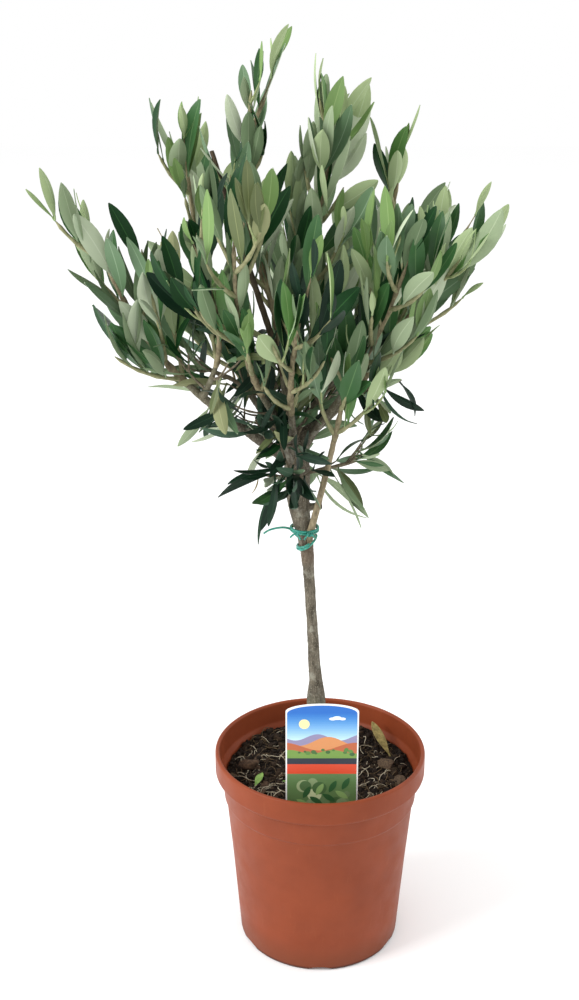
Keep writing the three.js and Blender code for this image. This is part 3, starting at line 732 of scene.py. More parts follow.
class Shape:
    """Points and faces gathered from many small forms, each face with the number of its material."""

    def __init__(self):
        self.points, self.faces, self.kinds, self.count = [], [], [], 0

    def add(self, points, faces, kinds=0):
        points = np.asarray(points, float).reshape(-1, 3)
        self.points.append(points)
        self.faces.extend([[corner + self.count for corner in face] for face in faces])
        self.kinds.extend([kinds] * len(faces) if np.isscalar(kinds) else kinds)
        self.count += len(points)

    def piece(self, name, materials, slot, nodes=(), smooth=True, sharp=None):
        mesh = bpy.data.meshes.new(name)
        mesh.from_pydata((np.concatenate(self.points) * MM).tolist(), [], self.faces)
        for finish in materials:
            mesh.materials.append(finish)
        mesh.polygons.foreach_set("material_index", self.kinds)
        mesh.polygons.foreach_set("use_smooth", [smooth] * len(mesh.polygons))
        if sharp is not None:
            mesh.set_sharp_from_angle(angle=math.radians(sharp))
        return place(bpy.data.objects.new(name, mesh), nodes)


def place(piece, nodes=()):
    """Links a piece, ties it to the plant's body and hides the solids that it stands for."""
    bpy.context.scene.collection.objects.link(piece)
    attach(piece, "root")
    if nodes:
        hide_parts(*nodes)
    return piece


def ring_faces(first, rings, sides):
    """Faces between rings of points, one ring after the other from the first point on."""
    faces = []
    for ring in range(rings - 1):
        low, high = first + ring * sides, first + (ring + 1) * sides
        for side in range(sides):
            after = (side + 1) % sides
            faces.append([low + side, low + after, high + after, high + side])
    return faces


def fan_faces(first, rings, sides):
    """Faces that close the first and the last ring, towards the points 0 and 1 on the axis."""
    faces, last = [], first + (rings - 1) * sides
    for side in range(sides):
        after = (side + 1) % sides
        faces.append([0, first + after, first + side])
        faces.append([1, last + side, last + after])
    return faces


def plate_faces(count):
    """Faces of a plate: one outline of points, the same outline further on, and the edge between."""
    faces = [list(range(count)), list(range(count, 2 * count))[::-1]]
    for corner in range(count):
        after = (corner + 1) % count
        faces.append([after, corner, count + corner, count + after])
    return faces


def tube_form(points, radii, sides):
    """Closed tube through points, with a radius for each point or for each point and side."""
    points = np.asarray(points, float)
    radii = np.asarray(radii, float)
    if radii.ndim == 1:
        radii = radii[:, None]
    radii = np.broadcast_to(radii, (len(points), sides))
    tangents = np.gradient(points, axis=0)
    tangents /= np.linalg.norm(tangents, axis=1, keepdims=True)
    normal = unit(np.cross(tangents[0], UP if abs(tangents[0][2]) < UPRIGHT_TUBE else SIDE))
    turns = np.arange(sides) * 2 * math.pi / sides
    rings = []
    for point, tangent, radius in zip(points, tangents, radii):
        normal = unit(normal - tangent * np.dot(normal, tangent))
        binormal = np.cross(tangent, normal)
        outward = np.outer(np.cos(turns), normal) + np.outer(np.sin(turns), binormal)
        rings.append(point + outward * radius[:, None])
    last = (len(points) - 1) * sides
    ends = [list(range(sides))[::-1], list(range(last, last + sides))]
    return np.concatenate(rings), ring_faces(0, len(points), sides) + ends


def lathe_form(outline, segments):
    """Solid of revolution from radii and heights that start and end on the axis."""
    turns = np.arange(segments) * 2 * math.pi / segments
    inner = outline[1:-1]
    points = [[0, 0, outline[0][1]], [0, 0, outline[-1][1]]]
    for radius, height in inner:
        points.extend(zip(radius * np.cos(turns), radius * np.sin(turns), [height] * segments))
    return np.array(points), ring_faces(2, len(inner), segments) + fan_faces(2, len(inner), segments)


CORNER_STEPS = 3
CORNER_SHARE = 0.45


def rounded(outline, radius):
    """Outline with its inner corners rounded off."""
    outline = [np.array(point, float) for point in outline]
    result = [outline[0]]
    for before, corner, after in zip(outline, outline[1:], outline[2:]):
        reach_in = min(radius, np.linalg.norm(corner - before) * CORNER_SHARE)
        reach_out = min(radius, np.linalg.norm(after - corner) * CORNER_SHARE)
        start, end = corner + unit(before - corner) * reach_in, corner + unit(after - corner) * reach_out
        for share in np.linspace(0, 1, CORNER_STEPS + 1):
            result.append(start * (1 - share) ** 2 + corner * 2 * share * (1 - share) + end * share ** 2)
    result.append(outline[-1])
    return result


def prism_form(outline, front, depth):
    """Upright plate from an outline of x and z, with its face at y = front."""
    points = [(x, front, z) for x, z in outline] + [(x, front + depth, z) for x, z in outline]
    return points, plate_faces(len(outline))


# Materials
def linear(code):
    """Linear colour of a hex code."""
    values = [int(code[i:i + 2], 16) / 255 for i in (1, 3, 5)]
    return [v / 12.92 if v <= 0.04045 else ((v + 0.055) / 1.055) ** 2.4 for v in values] + [1.0]


class Finish:
    """A material and the nodes of its pattern, in the object's own coordinates."""

    MIX_INPUTS = (0, 6, 7)
    MIX_OUTPUT = 2

    def __init__(self, name, color, roughness, **sockets):
        self.material = bpy.data.materials.new(name)
        self.material.use_nodes = True
        self.tree = self.material.node_tree
        self.shader = self.tree.nodes["Principled BSDF"]
        self.set("Base Color", linear(color))
        self.set("Roughness", roughness)
        for socket, value in sockets.items():
            self.set(socket.replace("_", " "), value)

    def feed(self, socket, value):
        """Links a pattern to a socket, or sets a plain value on it."""
        if isinstance(value, bpy.types.NodeSocket):
            self.tree.links.new(value, socket)
        else:
            socket.default_value = value

    def set(self, socket, value):
        self.feed(self.shader.inputs[socket], value)

    def node(self, kind, inputs=(), **settings):
        node = self.tree.nodes.new("ShaderNode" + kind)
        for key, value in settings.items():
            setattr(node, key, value)
        for key, value in dict(inputs).items():
            self.feed(node.inputs[key], value)
        return node

    def place(self, stretch=(1, 1, 1)):
        where = self.node("TexCoord").outputs["Object"]
        return self.node("Mapping", {"Vector": where, "Scale": stretch}).outputs["Vector"]

    def noise(self, size, stretch=(1, 1, 1), detail=3, rough=0.55):
        """Noise with features of about the given size in millimetres."""
        inputs = {"Vector": self.place(stretch), "Scale": 1000 / size, "Detail": detail, "Roughness": rough}
        return self.node("TexNoise", inputs).outputs["Fac"]

    def height(self, low, high):
        """From 0 at the low height to 1 at the high one, in millimetres."""
        where = self.node("SeparateXYZ", {"Vector": self.place()}).outputs["Z"]
        inputs = {"Value": where, "From Min": low * MM, "From Max": high * MM}
        return self.node("MapRange", inputs, interpolation_type="SMOOTHSTEP").outputs["Result"]

    def remap(self, value, low, high, to_low=0.0, to_high=1.0):
        inputs = {"Value": value, "From Min": low, "From Max": high, "To Min": to_low, "To Max": to_high}
        return self.node("MapRange", inputs).outputs["Result"]

    def patches(self, size, low, high, stretch=(1, 1, 1), detail=3, rough=0.55):
        """Patches of noise, from 0 at its low value to 1 at its high one."""
        return self.remap(self.noise(size, stretch, detail, rough), low, high)

    def times(self, first, second):
        return self.node("Math", {0: first, 1: second}, operation="MULTIPLY").outputs[0]

    def mix(self, share, first, second):
        node = self.node("Mix", data_type="RGBA")
        for index, value in zip(self.MIX_INPUTS, (share, first, second)):
            self.feed(node.inputs[index], linear(value) if isinstance(value, str) else value)
        return node.outputs[self.MIX_OUTPUT]

    def cover(self, color, pattern, share, code):
        """A colour with another over it where the pattern is, up to a share."""
        return self.mix(self.times(pattern, share), color, code)

    def bump(self, height, depth, strength=1.0):
        """Relief of the given depth in millimetres."""
        inputs = {"Height": height, "Distance": depth * MM, "Strength": strength}
        self.set("Normal", self.node("Bump", inputs).outputs["Normal"])


def plastic_finish():
    finish = Finish("terracotta_plastic", "#863F23", 0.5, Specular_IOR_Level=0.18)
    clouds = finish.patches(38, 0.35, 0.65, detail=4)
    scuffs = finish.patches(5, 0.6, 0.78, (1, 1, 0.22), 5, 0.7)
    dust = finish.patches(1.2, 0.62, 0.75, detail=2)
    color = finish.mix(clouds, "#7E3A20", "#884024")
    color = finish.cover(color, scuffs, 0.28, "#9C5A38")
    color = finish.cover(color, dust, 0.22, "#703A24")
    # Painted shade: the colour darkens towards the foot, from 26 mm down to the floor
    color = finish.mix(finish.height(26, 0), color, "#773C24")
    # Painted shade: near-black over the lowest few millimetres, inside the drain channels and under the
    # foot's edge
    finish.set("Base Color", finish.cover(color, finish.height(3.6, 1.2), 0.75, "#33180F"))
    finish.set("Roughness", finish.remap(finish.noise(14, detail=4), 0.3, 0.7, 0.4, 0.55))
    finish.bump(finish.noise(0.9, detail=3), 0.05, 0.6)
    return finish.material


def peat_finish():
    finish = Finish("peat", "#2C211A", 0.95, Specular_IOR_Level=0.12)
    color = finish.mix(finish.patches(5, 0.35, 0.65, detail=5), "#0E0B09", "#211A14")
    flecks = finish.patches(1.1, 0.6, 0.68, detail=2)
    finish.set("Base Color", finish.cover(color, flecks, 0.7, "#6B5440"))
    finish.bump(finish.noise(0.8, detail=4, rough=0.7), 0.5)
    return finish.material


def grain_finish(name, dark, light, size=2.0, depth=0.2, roughness=0.85, stretch=(1, 1, 1)):
    """Two tones in irregular patches, with a little relief."""
    finish = Finish(name, light, roughness, Specular_IOR_Level=0.2)
    pattern = finish.noise(size, stretch, detail=4, rough=0.65)
    finish.set("Base Color", finish.mix(finish.remap(pattern, 0.35, 0.65), dark, light))
    finish.bump(pattern, depth)
    return finish.material


def bark_finish():
    finish = Finish("bark", "#6E675A", 0.85, Specular_IOR_Level=0.3)
    patches = finish.patches(5.5, 0.36, 0.64, (1, 1, 0.4), 5, 0.65)
    specks = finish.patches(0.9, 0.55, 0.66, (1, 1, 0.6), rough=0.7)
    veins = finish.patches(1.1, 0.54, 0.66, (1, 1, 0.2))
    lichen = finish.patches(9, 0.55, 0.66)
    girdle = finish.times(finish.height(288, 296), finish.height(312, 303))
    color = finish.mix(patches, "#443E33", "#716A5C")
    color = finish.cover(color, specks, 0.65, "#A39B89")
    color = finish.cover(color, veins, 0.65, "#403A30")
    color = finish.cover(color, lichen, 0.5, "#A3A294")
    color = finish.cover(color, finish.height(196, 178), 0.6, "#70725F")
    color = finish.cover(color, girdle, 0.4, "#665040")
    color = finish.cover(color, finish.height(378, 430), 0.5, "#77755C")
    finish.set("Base Color", color)
    finish.bump(finish.noise(0.9, (1, 1, 0.3), detail=5, rough=0.7), 0.35)
    return finish.material


# Leaves
LEAF_ROWS = np.array([0, 0.035, 0.075, 0.12, 0.19, 0.29, 0.41, 0.54, 0.66, 0.77, 0.87, 0.945, 0.99])
LEAF_COLUMNS = np.array([-1, -0.55, -0.05, 0.05, 0.55, 1])
LEAF_STALK = 0.075
STALK_HALF_WIDTH = 0.7
STALK_THICKNESS = 1.1
STALK_REACH = 0.02
STALK_WIDE_REACH = 0.2
TIP_HALF_WIDTH = 0.2
FOLD_POWER = 1.4
OUTWARD_RISE = 20
LEAF_OUTLINES = ((1.1, 0.95), (0.85, 0.7))
LEAF_STRETCH = 1.13
LEAF_SLIMNESS = {"leader": 0.62, "low": 0.62, "front": 0.78}
USUAL_SLIMNESS = 0.88
LEAF_UPTURNS = (0.12, 0.55)
FRONT_UPTURNS = (0.45, 1.3)
LOW_UPTURNS = (-0.45, 0.1)
HANGING_UPTURNS = (-4, -1.8)
LEAF_TURNS = ((0, 1), (0.4, 1), (0.9, 1), (-0.3, 0.9), (0.3, 0.72), (1.6, 0.8))
LOW_TURNS = ((0, 1), (-0.6, 1), (-1.3, 1), (0.5, 0.8), (-0.3, 0.65))
BLADE_CHECKS = np.array([0.25, 0.45, 0.65, 0.85, 1])
STRAY_CHANCE = 0.22
STRAY_DRAWS = 9
LEAF_THICKNESS = 0.5
LEAF_FOLDS = (0.05, 0.42)
LEAF_BOWS = (-0.1, 0.06)
LOW_BOWS = (-0.2, 0.12)
LEAF_SWAYS = (-0.04, 0.04)
LEAF_TWISTS = (-0.5, 0.5)
LEAF_SEED = 4211
FACING_OUT_CHANCE = 0.62
DULL_KINDS = ("shade", "dark")
DULL_SHARE = 0.45

# Roughness and specular level of the upper side, the underside and the rib on each
LEAF_SHEENS = {"upper": (0.42, 0.34), "under": (0.7, 0.25), "rib_upper": (0.5, 0.3), "rib_under": (0.7, 0.25)}

# Colours of the leaf kinds, in the same order
LEAF_COLORS = {
    # The shade kind is painted shade: dark upper sides and dark undersides for leaves that stand low or
    # inside the crown
    "shade": ("#12291B", "#3A5240", "#263F2D", "#516652"),
    "dark": ("#163A1B", "#657959", "#2F5A2E", "#809171"),
    "mid": ("#345C31", "#93A482", "#57794B", "#AAB897"),
    "fresh": ("#567E42", "#A2B487", "#7A995F", "#B5C49B"),
    "grey": ("#5F7B5A", "#B4C0A4", "#829A7C", "#C2CCB4"),
    "bronze": ("#5C6740", "#8B9068", "#7D8459", "#9FA27B"),
    "young": ("#6E8C50", "#A0B283", "#86A065", "#B0C098"),
    "dry": ("#7B6C43", "#9A895E", "#93845A", "#AA9A70"),
}
# The low masses and the twigs inside the crown draw the shade kind most often, as painted shade under the
# crown
DARK_KINDS = {"shade": 0.4, "dark": 0.14, "bronze": 0.24, "grey": 0.14, "mid": 0.08}
INNER_KINDS = {"dark": 0.43, "shade": 0.12, "mid": 0.26, "grey": 0.07, "fresh": 0.03, "bronze": 0.09}
OUTER_KINDS = {"mid": 0.34, "grey": 0.3, "dark": 0.18, "fresh": 0.18}
UPPER_KINDS = {"mid": 0.36, "grey": 0.3, "dark": 0.14, "fresh": 0.2}
DARK_MASSES = ("low_front", "low_back", "low_right", "low_inner")
UPPER_MASSES = ("leader", "upright", "upper_right", "upper_left")
OUTER_MASSES = ("far_left", "far_right", "front_right", "front_shoot", "back_right", "right_low", "low_left")
KINDS_OF_MASSES = ((DARK_MASSES, DARK_KINDS), (UPPER_MASSES, UPPER_KINDS), (OUTER_MASSES, OUTER_KINDS))


def leaf_form(leaf, draw):
    """Thin closed blade on a short stalk, with a fold along its rib, and the material of each face."""
    along = unit(leaf["direction"] + UP * leaf.get("upturn", 0.0))
    across = unit(leaf["across"] - along * np.dot(leaf["across"], along))
    face = -np.cross(along, across)
    outward = unit(leaf["root"] * np.array([1, 1, 0]) + UP * OUTWARD_RISE)
    if np.dot(face, outward) < 0 and draw() < FACING_OUT_CHANCE:
        face, across = -face, -across
    length, half = leaf["length"], leaf["width"] / 2 * leaf.get("slimness", 1.0)
    blade = np.clip((LEAF_ROWS - LEAF_STALK) / (1 - LEAF_STALK), 0, 1)
    rise, fall = mixed(*np.array(LEAF_OUTLINES), draw())
    widest = rise / (rise + fall)
    shape = blade ** rise * (1 - blade) ** fall / (widest ** rise * (1 - widest) ** fall)
    least = np.where(blade < STALK_WIDE_REACH, STALK_HALF_WIDTH, TIP_HALF_WIDTH)
    widths = np.maximum(half * shape, least)
    bows = LOW_BOWS if leaf.get("low") else LEAF_BOWS
    fold, bow, sway, twist = (mixed(*span, draw()) for span in (LEAF_FOLDS, bows, LEAF_SWAYS, LEAF_TWISTS))
    arch = 4 * LEAF_ROWS * (1 - LEAF_ROWS) * length
    middle = leaf["root"] + np.outer(LEAF_ROWS * length, along) + np.outer(arch * bow, face)
    middle = middle + np.outer(arch * sway, across)
    turn = twist * (LEAF_ROWS - 0.5)
    sideways = np.outer(np.cos(turn), across) + np.outer(np.sin(turn), face)
    lifted = np.outer(np.cos(turn), face) - np.outer(np.sin(turn), across)
    spread = widths[:, None] * LEAF_COLUMNS
    lift = fold * widths[:, None] * np.abs(LEAF_COLUMNS) ** FOLD_POWER
    base = middle[:, None] + spread[..., None] * sideways[:, None] + lift[..., None] * lifted[:, None]
    thick = np.where(blade < STALK_REACH, STALK_THICKNESS, LEAF_THICKNESS) / 2
    offset = thick[:, None, None] * lifted[:, None]
    upper = base.copy()
    upper[:, 1:-1] += offset
    under = base[:, 1:-1] - offset
    return np.concatenate([upper.reshape(-1, 3), under.reshape(-1, 3)]), LEAF_FACES, LEAF_FACE_KINDS


def leaf_faces():
    """Faces of a leaf and their materials: upper side, underside, and the rib on each."""
    rows, columns = len(LEAF_ROWS), len(LEAF_COLUMNS)

    def upper(row, column):
        return row * columns + column

    def under(row, column):
        if column in (0, columns - 1):
            return upper(row, column)
        return rows * columns + row * (columns - 2) + column - 1

    faces, kinds = [], []
    for row in range(rows - 1):
        for column in range(columns - 1):
            corners = [(row, column), (row, column + 1), (row + 1, column + 1), (row + 1, column)]
            faces.append([upper(*corner) for corner in corners])
            faces.append([under(*corner) for corner in corners[:1] + corners[:0:-1]])
            kinds.extend([2, 3] if column == columns // 2 - 1 else [0, 1])
    inner = range(1, columns - 1)
    foot = [upper(0, column) for column in reversed(range(columns))]
    tip = [upper(rows - 1, column) for column in range(columns)]
    faces.append(foot + [under(0, column) for column in inner])
    faces.append(tip + [under(rows - 1, column) for column in reversed(inner)])
    kinds.extend([3, 1])
    return faces, kinds


LEAF_FACES, LEAF_FACE_KINDS = leaf_faces()


def leaf_finishes(kind):
    """Plain base colours, as the leaf kinds are dealt out by spray."""
    dull = DULL_SHARE if kind in DULL_KINDS else 1
    finishes = []
    for color, (name, (roughness, specular)) in zip(LEAF_COLORS[kind], LEAF_SHEENS.items()):
        finish = Finish(f"leaf_{kind}_{name}", color, roughness, Specular_IOR_Level=specular * dull)
        finishes.append(finish.material)
    return finishes


def pick(shares, draw):
    """One of the kinds, by their shares."""
    left = draw()
    for kind, share in shares.items():
        left -= share
        if left < 0:
            return kind
    return kind


def leaf_kind(leaf, stray):
    """Kind of a leaf, the same all over its spray unless the leaf strays."""
    name = leaf["mass"]["name"]
    draw = seeded(LEAF_SEED + leaf["spray"] * SEED_STEP)
    for _ in range(int(1 + stray * STRAY_DRAWS)):
        draw()
    if name == "low_hanging":
        return "dry" if leaf["young"] else "shade"
    shares = next((kinds for masses, kinds in KINDS_OF_MASSES if name in masses), INNER_KINDS)
    kind = pick(shares, draw)
    if leaf["young"] and kind in ("fresh", "mid", "grey") and not name.startswith("low"):
        return "young"
    return kind


def turned_clear(leaf):
    """Turns or shortens a leaf until it leaves the sky open, and says whether that can be done."""
    for turn, scale in LOW_TURNS if leaf["low"] else LEAF_TURNS:
        along = unit(leaf["direction"] + UP * (leaf["upturn"] + turn))
        length = leaf["length"] * scale
        if not in_sky(leaf["root"] + np.outer(BLADE_CHECKS * length, along)):
            leaf.update(upturn=leaf["upturn"] + turn, length=length)
            return True
    return False


def leaf_upturns(name):
    """Lowest and highest share of UP that is added to the way of a mass's leaves."""
    if name == "low_hanging":
        return HANGING_UPTURNS
    if name.startswith("front"):
        return FRONT_UPTURNS
    return LOW_UPTURNS if name.startswith("low") else LEAF_UPTURNS


def settled_leaves(grown):
    """Gives each leaf its kind and its way, and keeps those that leave the sky open."""
    draw = seeded(LEAF_SEED)
    kept = []
    for leaf in grown:
        name = leaf["mass"]["name"]
        low = name.startswith("low")
        leaf.update(kind=leaf_kind(leaf, draw() if draw() < STRAY_CHANCE else 0), low=low)
        leaf["upturn"] = mixed(*leaf_upturns(name), draw())
        leaf["slimness"] = LEAF_SLIMNESS.get(name.split("_")[0], USUAL_SLIMNESS)
        leaf["length"] *= 1 if name == "leader" else LEAF_STRETCH
        leaf["root"] = swayed(leaf["root"][None], leaf["mass"])[0]
        if turned_clear(leaf):
            kept.append(leaf)
    return kept


def make_leaves(leaves):
    draw = seeded(LEAF_SEED)
    shapes, nodes = {}, {}
    for leaf in leaves:
        kind = leaf["kind"]
        shapes.setdefault(kind, Shape()).add(*leaf_form(leaf, draw))
        if leaf["mass"]["index"] is not None:
            nodes.setdefault(kind, set()).add("mass_" + leaf["mass"]["name"])
    for kind, shape in shapes.items():
        masses = sorted(nodes.get(kind, ()))
        shape.piece(f"leaves_{kind}", leaf_finishes(kind), "foliage", masses, sharp=SHARP_EDGE)


# Twigs
TWIG_RING_GAP = 4.5
TWIG_SIDES = 7
TWIG_SWELL = 0.3
TWIG_SWELLS_EVERY = 3
TWIG_POINT = 0.1
TWIG_TIP = 0.3
TWIG_GROUPS = {FINE_RADII: "fine_twigs", SHOOT_RADII: "shoots"}


def bearing_twigs(twigs, leaves):
    """The stems, and the twigs that bear leaves or other twigs."""
    bearing = {id(leaf["on"]) for leaf in leaves}
    kept = []
    for twig in reversed(twigs):
        if twig["parent"] is None or id(twig["curve"]) in bearing:
            kept.append(twig)
            bearing.add(id(twig["parent"]))
    return kept


def make_twigs(twigs):
    groups = {"stems": Shape(), "shoots": Shape(), "fine_twigs": Shape(), "inner_twigs": Shape()}
    nodes = {name: set() for name in groups}
    for twig in twigs:
        curve, (thick, thin) = twig["curve"], twig["radii"]
        low = twig["mass"]["name"].startswith("low")
        group = "inner_twigs" if low else TWIG_GROUPS.get(twig["radii"], "stems")
        count = max(4, int(curve.length() / TWIG_RING_GAP))
        shares = np.linspace(0, 1, count + 1)
        swell = 1 + TWIG_SWELL * (np.arange(count + 1) % TWIG_SWELLS_EVERY == 1)
        middles = swayed(curve.point(shares), twig["mass"])
        pointed = np.clip((1 - shares) / TWIG_POINT, TWIG_TIP, 1)
        groups[group].add(*tube_form(middles, mixed(thick, thin, shares) * swell * pointed, TWIG_SIDES))
        if twig["mass"]["index"] is not None:
            nodes[group].add("mass_" + twig["mass"]["name"])
    finishes = {
        "stems": grain_finish("stem_bark", "#625945", "#978D6F", 3, 0.15, 0.8, (1, 1, 0.4)),
        "shoots": grain_finish("shoot_skin", "#7A7C58", "#9C9A76", 3, 0.1, 0.7, (1, 1, 0.5)),
        "fine_twigs": grain_finish("young_skin", "#7E8A5B", "#9BA678", 2, 0.08, 0.65),
        "inner_twigs": grain_finish("inner_bark", "#51493B", "#7D7460", 2, 0.1, 0.8, (1, 1, 0.5)),
    }
    for name, shape in groups.items():
        shape.piece(name, [finishes[name]], "foliage", sorted(nodes[name]), sharp=ROUND_EDGE)


# Bark
TRUNK_SIDES = 28
TRUNK_RING_GAP = 3
BARK_VOXEL = 0.7
COLLAR_LENGTH = 9
COLLAR_SWELL = 0.55
STUB_RINGS = 12
STUB_END = {"along": (-0.6, 0.25, 0.45), "radii": (2.1, 2, 1.4), "sides": 18, "sharp": 50}
BOUGH_SIDES = 16
BOUGH_SKIN_RINGS = 26
LOOSE_SIDES = 18
LOOSE_RINGS = 90
TRUNK_KERNEL = np.array([1, 2, 3, 2, 1]) / 9

# Ribs round the trunk: how high, how many, and how much they wind a millimetre up
TRUNK_RIBS = ((0.035, 3, 0.02), (0.03, 2, -0.035))

# Relief of the bark: how high, the size of its noise, and its stretch up the wood
FURROWS = {"high": 0.26, "size": 1.7, "stretch": 0.22, "steep": 2.4}
BARK_LUMPS = {"high": 0.34, "size": 9, "stretch": 0.6}
PORES = {"high": 0.5, "size": 1.3, "stretch": 1.2, "from": 0.3, "shift": 40}
BARK_LEVEL = 0.2
SKIN_WAVES = ((0.16, 1.4, 0.3), (0.14, 5, 1))


def smooth_trunk():
    """Heights, middles and radii of the trunk, closer together than its stations."""
    heights = np.arange(TRUNK_STATIONS[0][0], TRUNK_TOP + 0.1, TRUNK_RING_GAP)
    leans, radii = (np.interp(heights, TRUNK_STATIONS[:, 0], TRUNK_STATIONS[:, column]) for column in (1, 2))
    for values in (leans, radii):
        values[2:-2] = np.convolve(values, TRUNK_KERNEL, "valid")
    return np.stack([leans, np.zeros(len(heights)), heights], axis=1), radii


def bough_form(name, curve, rings=BOUGH_SKIN_RINGS, sides=BOUGH_SIDES):
    thick, thin = BOUGHS[name][-1]
    shares = np.linspace(0, 1, rings)
    radii = mixed(thick, thin, shares)
    radii = radii * (1 + COLLAR_SWELL * np.exp(-shares * curve.length() / COLLAR_LENGTH))
    return tube_form(curve.point(shares), radii, sides)


def grain_noise(point, size, stretch=1.0):
    return noise.noise(Vector((point[0] / size, point[1] / size, point[2] / size * stretch)))


def roughened(mesh, relief):
    """Moves each vertex along its normal by the relief at its place, in millimetres."""
    count = len(mesh.vertices)
    points, normals = np.empty(count * 3), np.empty(count * 3)
    mesh.vertices.foreach_get("co", points)
    mesh.vertex_normals.foreach_get("vector", normals)
    points, normals = points.reshape(-1, 3) / MM, normals.reshape(-1, 3)
    heights = np.array([relief(point) for point in points])
    mesh.vertices.foreach_set("co", ((points + normals * heights[:, None]) * MM).ravel())
    mesh.update()


def bark_relief(point):
    """Furrows along the wood, lumps and pores."""
    furrows = 1 - abs(grain_noise(point, FURROWS["size"], FURROWS["stretch"])) * FURROWS["steep"]
    lumps = grain_noise(point, BARK_LUMPS["size"], BARK_LUMPS["stretch"])
    pores = max(0.0, grain_noise(point + PORES["shift"], PORES["size"], PORES["stretch"]) - PORES["from"])
    heights = FURROWS["high"] * furrows + BARK_LUMPS["high"] * lumps + PORES["high"] * pores
    return heights - BARK_LEVEL


def skin_relief(point):
    """Finer relief of the shoot and of the bare stick."""
    return sum(high * grain_noise(point, size, stretch) for high, size, stretch in SKIN_WAVES)


def settled(piece):
    """Applies the modifiers of a piece to its mesh."""
    evaluated = piece.evaluated_get(bpy.context.evaluated_depsgraph_get())
    mesh = bpy.data.meshes.new_from_object(evaluated)
    piece.modifiers.clear()
    old = piece.data
    piece.data = mesh
    bpy.data.meshes.remove(old)
    mesh.name = piece.name
    return mesh


def make_wood(curves):
    """Trunk, cut stub and boughs, grown together and with the relief of bark."""
    shape = Shape()
    middles, radii = smooth_trunk()
    heights, turns = middles[:, 2:], np.arange(TRUNK_SIDES) * 2 * math.pi / TRUNK_SIDES
    ribs = sum((high * np.sin(turns * count + heights * wind) for high, count, wind in TRUNK_RIBS), 1)
    shape.add(*tube_form(middles, radii[:, None] * ribs, TRUNK_SIDES))
    stub_foot, _ = trunk_at(CUT_STUB["at"])
    stub = bowed(stub_foot, CUT_STUB["azimuth"], CUT_STUB["reach"], CUT_STUB["rise"], CUT_STUB["lift"])
    shares = np.linspace(0, 1, STUB_RINGS)
    shape.add(*tube_form(stub.point(shares), mixed(*CUT_STUB["thick"], shares), BOUGH_SIDES))
    grown_in = [name for name in curves if name not in LOOSE_BOUGHS]
    for name in grown_in:
        shape.add(*bough_form(name, curves[name]))
    nodes = ["trunk"] + ["bough_" + name for name in grown_in]
    wood = shape.piece("trunk_and_boughs", [bark_finish()], "bark", nodes)
    remesh = wood.modifiers.new("grown_together", "REMESH")
    remesh.mode = "VOXEL"
    remesh.voxel_size = BARK_VOXEL * MM
    remesh.use_smooth_shade = True
    roughened(settled(wood), bark_relief)

    cut = Shape()
    middles = [stub.point(1) + stub.direction(1) * far for far in STUB_END["along"]]
    cut.add(*tube_form(middles, STUB_END["radii"], STUB_END["sides"]))
    cut_wood = grain_finish("cut_wood", "#2E251E", "#5B4A3A", 0.8, 0.2)
    cut.piece("cut_stub_end", [cut_wood], "bark", sharp=STUB_END["sharp"])


def make_loose_boughs(curves):
    """The front shoot and the bare stick, each a piece of its own."""
    skins = {
        "front_shoot": grain_finish("shoot_bark", "#685E4A", "#9A8D72", 3, 0.2, 0.75, (1, 1, 0.3)),
        "bare_stick": grain_finish("dead_bark", "#3A3127", "#5E5242", 2.5, 0.25, 0.9, (1, 1, 0.3)),
    }
    for name in LOOSE_BOUGHS:
        limb = Shape()
        limb.add(*bough_form(name, curves[name], LOOSE_RINGS, LOOSE_SIDES))
        nodes = ["bough_" + name]
        piece = limb.piece(f"bough_{name}_bark", [skins[name]], "bark", nodes, sharp=ROUND_EDGE)
        roughened(piece.data, skin_relief)


# Pot: radii and heights of its foot and wall, the radii inside, then its edges and the drains
FOOT_STATIONS = [(0, 1.0), (38, 1.0), (39.5, 0), (BASE_RADIUS - 1, 0), (BASE_RADIUS, 1.4)]
WALL_STATIONS = [(60.6, 34), (63.2, 66)]
INNER_RIM_RADIUS = 68.4
INNER_WALL_RADIUS = 65.6
FLOOR_RADIUS = 56.2
SHOULDER_EDGE = 1.4
RIM_EDGE = 1.5
LIP = 1
LIP_WIDTH = 2.3
RIM_WALL = 3.8
POT_ROUNDING = 1.1
POT_SHARP = 38
DRAIN_EDGE = 0.6
DRAIN_BELOW = 3
DRAIN_PAST = 8
DRAIN_ARC_POINTS = 13
DRAIN_HOLE_SIDES = 24
DRAIN_BORE_HEIGHTS = (-3, 3, 9)


def pot_outline():
    """Outside from the foot to the lip, then down the inner wall to the floor."""
    rim_foot, shoulder = POT_HEIGHT - RIM_DEPTH, POT_HEIGHT - SHOULDER_DEPTH
    outside = FOOT_STATIONS + WALL_STATIONS
    outside += [(WALL_TOP_RADIUS, shoulder), (WALL_TOP_RADIUS + SHOULDER_EDGE, shoulder + SHOULDER_EDGE)]
    outside += [(SHOULDER_RADIUS, rim_foot - RIM_EDGE), (RIM_RADIUS - LIP, rim_foot)]
    outside += [(RIM_RADIUS, rim_foot + RIM_EDGE), (RIM_RADIUS, POT_HEIGHT - LIP)]
    outside += [(RIM_RADIUS - LIP, POT_HEIGHT), (RIM_RADIUS - LIP_WIDTH, POT_HEIGHT)]
    inside = [(RIM_RADIUS - LIP_WIDTH - LIP, POT_HEIGHT - LIP), (RIM_RADIUS - RIM_WALL, rim_foot + RIM_EDGE)]
    inside += [(INNER_RIM_RADIUS, rim_foot - 2 * RIM_EDGE), (INNER_WALL_RADIUS, shoulder - LIP)]
    inside += [(FLOOR_RADIUS, POT_FLOOR), (0, POT_FLOOR)]
    return outside + inside


